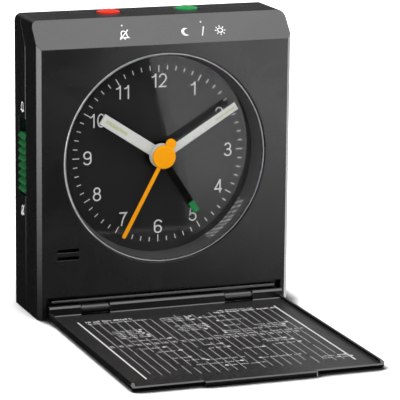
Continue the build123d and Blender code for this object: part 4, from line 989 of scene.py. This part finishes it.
def softbox(name, place, target, width, height, power):
    """A soft lamp: power in watts over a plain rectangle."""
    light = bpy.data.lights.new(name, "AREA")
    light.shape = "RECTANGLE"
    light.size = width
    light.size_y = height
    light.energy = power
    lamp = put(name, light)
    lamp.location = place
    lamp.rotation_mode = "QUATERNION"
    lamp.rotation_quaternion = (Vector(target) - Vector(place)).to_track_quat("-Z", "Y")
    lamp.visible_camera = False


def rectangle(low, high):
    """The corners of a rectangle that is flat across the one axis where its two ends agree."""
    across, up = [axis for axis in range(3) if low[axis] != high[axis]]
    second, last = list(low), list(low)
    second[across] = high[across]
    last[up] = high[up]
    return [low, second, high, last]


def reflector(name, corners, axis, levels, fade=None):
    """A glowing card, seen only in gloss and through the lens: its level changes along one axis."""
    finish = Finish(name, {"Base Color": grey(0.0), "Specular IOR Level": 0.0, "Emission Color": grey(1.0)})
    spot = finish.add("SeparateXYZ", {0: finish.object_spot()}).outputs
    ends = [corner["XYZ".index(axis)] for corner in corners]
    along = finish.spread(spot[axis], min(ends), max(ends), *levels)
    if fade:
        along = finish.times(along, finish.spread(spot["Z"], *fade))
    finish.set({"Emission Strength": along})
    mesh = bmesh.new()
    mesh.faces.new([mesh.verts.new(corner) for corner in corners])
    card = put_mesh(name, mesh, finish.material)
    card.visible_camera = False
    card.visible_diffuse = False
    card.visible_shadow = False


ROOM_FILL = 0.35
BACKDROP = 1.1
GLOSS_LOW = 0.02              # what gloss shows of the room at the horizon and below it
GLOSS_HIGH = 0.16             # and overhead
GLOSS_RISE = (0.40, 0.80)     # between these heights, where one is straight up


def room_light():
    """White where the camera looks, and dim in gloss and through the lens, most of all low down."""
    world = bpy.data.worlds.new("studio room")
    bpy.context.scene.world = world
    world.use_nodes = True
    world.cycles.sampling_method = "NONE"
    room = Tree(world.node_tree.nodes, world.node_tree.links)
    path = room.add("LightPath").outputs
    up = room.add("SeparateXYZ", {0: room.add("TexCoord").outputs["Generated"]}).outputs["Z"]
    gloss = room.nodes["Background"]
    room.feed(gloss.inputs["Strength"], room.spread(up, *GLOSS_RISE, GLOSS_LOW, GLOSS_HIGH))
    room.feed(gloss.inputs["Color"], grey(1.0))
    fill = room.add("Background", {"Color": grey(1.0), "Strength": ROOM_FILL})
    backdrop = room.add("Background", {"Color": grey(1.0), "Strength": BACKDROP})
    mirrored = room.combine("ADD", path["Is Glossy Ray"], path["Is Transmission Ray"], clamp=True)
    lit = room.add("MixShader", {0: mirrored, 1: fill.outputs[0], 2: gloss.outputs[0]})
    seen = room.add("MixShader", {0: path["Is Camera Ray"], 1: lit.outputs[0], 2: backdrop.outputs[0]})
    room.feed(room.nodes["World Output"].inputs["Surface"], seen.outputs[0])


CLOCK_MIDDLE = (0, -0.03, 0.04)
STRIP_TARGET = (0, 0, 0.07)
FOOT_FRONT = cover_low.y - 0.004       # the foot card's back edge, just before the cover
FOOT_LEVEL = -0.0001                   # and its height, just under the cover's foot
RIGHT_CARD = [(0.0440, -0.25, 0.18), (0.1200, -0.25, -0.12), (0.60, -0.25, -0.12), (0.60, -0.25, 0.18)]
RIGHT_FADE = (-0.05, -0.015, 0.10, 1.0)      # from one height to another, from one share to another
LEFT_FADE = (-0.018, 0.055, 0.0, 1.0)

# upright and lying cards: name, two opposite corners, axis of the level, levels at its two ends, fade
CARDS = [
    ("left card", (-0.12, -0.07, -0.02), (-0.12, -0.01, 0.08), "Y", (9.0, 9.0), LEFT_FADE),
    ("right edge card", (0.40, -0.02, -0.20), (0.40, 0.35, 0.06), "Y", (4.5, 4.5), None),
    ("back card", (0.045, 0.12, 0.0), (0.30, 0.12, 0.082), "X", (0.5, 1.5), None),
    ("top card", (-0.10, 0.40, 0.17), (0.35, 0.40, 0.36), "X", (0.32, 0.32), None),
    ("rear card", (0.02, 0.50, -0.25), (0.45, 0.50, 0.0), "X", (0.8, 2.4), None),
    ("glint card", (0.24, 0.03, 0.20), (0.24, 0.12, 0.30), "Z", (10.0, 10.0), None),
    ("front foot card", (-0.05, FOOT_FRONT - 0.006, FOOT_LEVEL), (0.06, FOOT_FRONT, FOOT_LEVEL),
     "X", (1.4, 1.4), None)]


def studio():
    """A large soft lamp overhead, a strip at the left, and cards that give the gloss its shapes."""
    softbox("overhead softbox", (0.20, -0.32, 0.85), CLOCK_MIDDLE, width=1.0, height=0.8, power=13.0)
    softbox("left strip", (-0.40, -0.10, 0.25), STRIP_TARGET, width=0.16, height=0.28, power=1.0)
    reflector("right card", RIGHT_CARD, "X", (2.8, 4.6), RIGHT_FADE)
    for name, low, high, axis, levels, fade in CARDS:
        reflector(name, rectangle(low, high), axis, levels, fade)
    room_light()


CAMERA_PLACE = (-0.2513, -0.7187, 0.1999)
CAMERA_YAW = 0.35470          # radians to the right of straight back
CAMERA_DIP = 0.21944          # radians below level
CAMERA_ROLL = 0.00963
CAMERA_LENS = 242.57          # millimetres
CAMERA_SENSOR = 36.0


def camera():
    data = bpy.data.cameras.new("camera")
    data.lens = CAMERA_LENS
    data.sensor_width = CAMERA_SENSOR
    data.clip_start = 0.05
    data.clip_end = 30.0
    eye = put("camera", data)
    yaw, dip = CAMERA_YAW, CAMERA_DIP
    ahead = Vector((math.sin(yaw) * math.cos(dip), math.cos(yaw) * math.cos(dip), -math.sin(dip)))
    right = Vector((math.cos(yaw), -math.sin(yaw), 0))
    level = Matrix((right, right.cross(ahead), -ahead)).transposed()
    rolled = level @ Matrix.Rotation(CAMERA_ROLL, 3, "Z")
    eye.matrix_world = Matrix.Translation(CAMERA_PLACE) @ rolled.to_4x4()
    bpy.context.scene.camera = eye


# ---- the whole clock -------------------------------------

dress_nodes()
dial_ink = printed_ink("ink dial white", (0.62, 0.62, 0.61, 1))
case_ink = printed_ink("ink case white", (0.70, 0.70, 0.69, 1))
chart_ink = printed_ink("ink chart white", (0.55, 0.55, 0.54, 1))
dial_print(dial_ink)
lens_edge()
band_signs(case_ink)
side_signs(case_ink)
back_signs(case_ink)
cover_chart(chart_ink)
floor()
studio()
camera()
bpy.context.scene.view_settings.view_transform = "Standard"
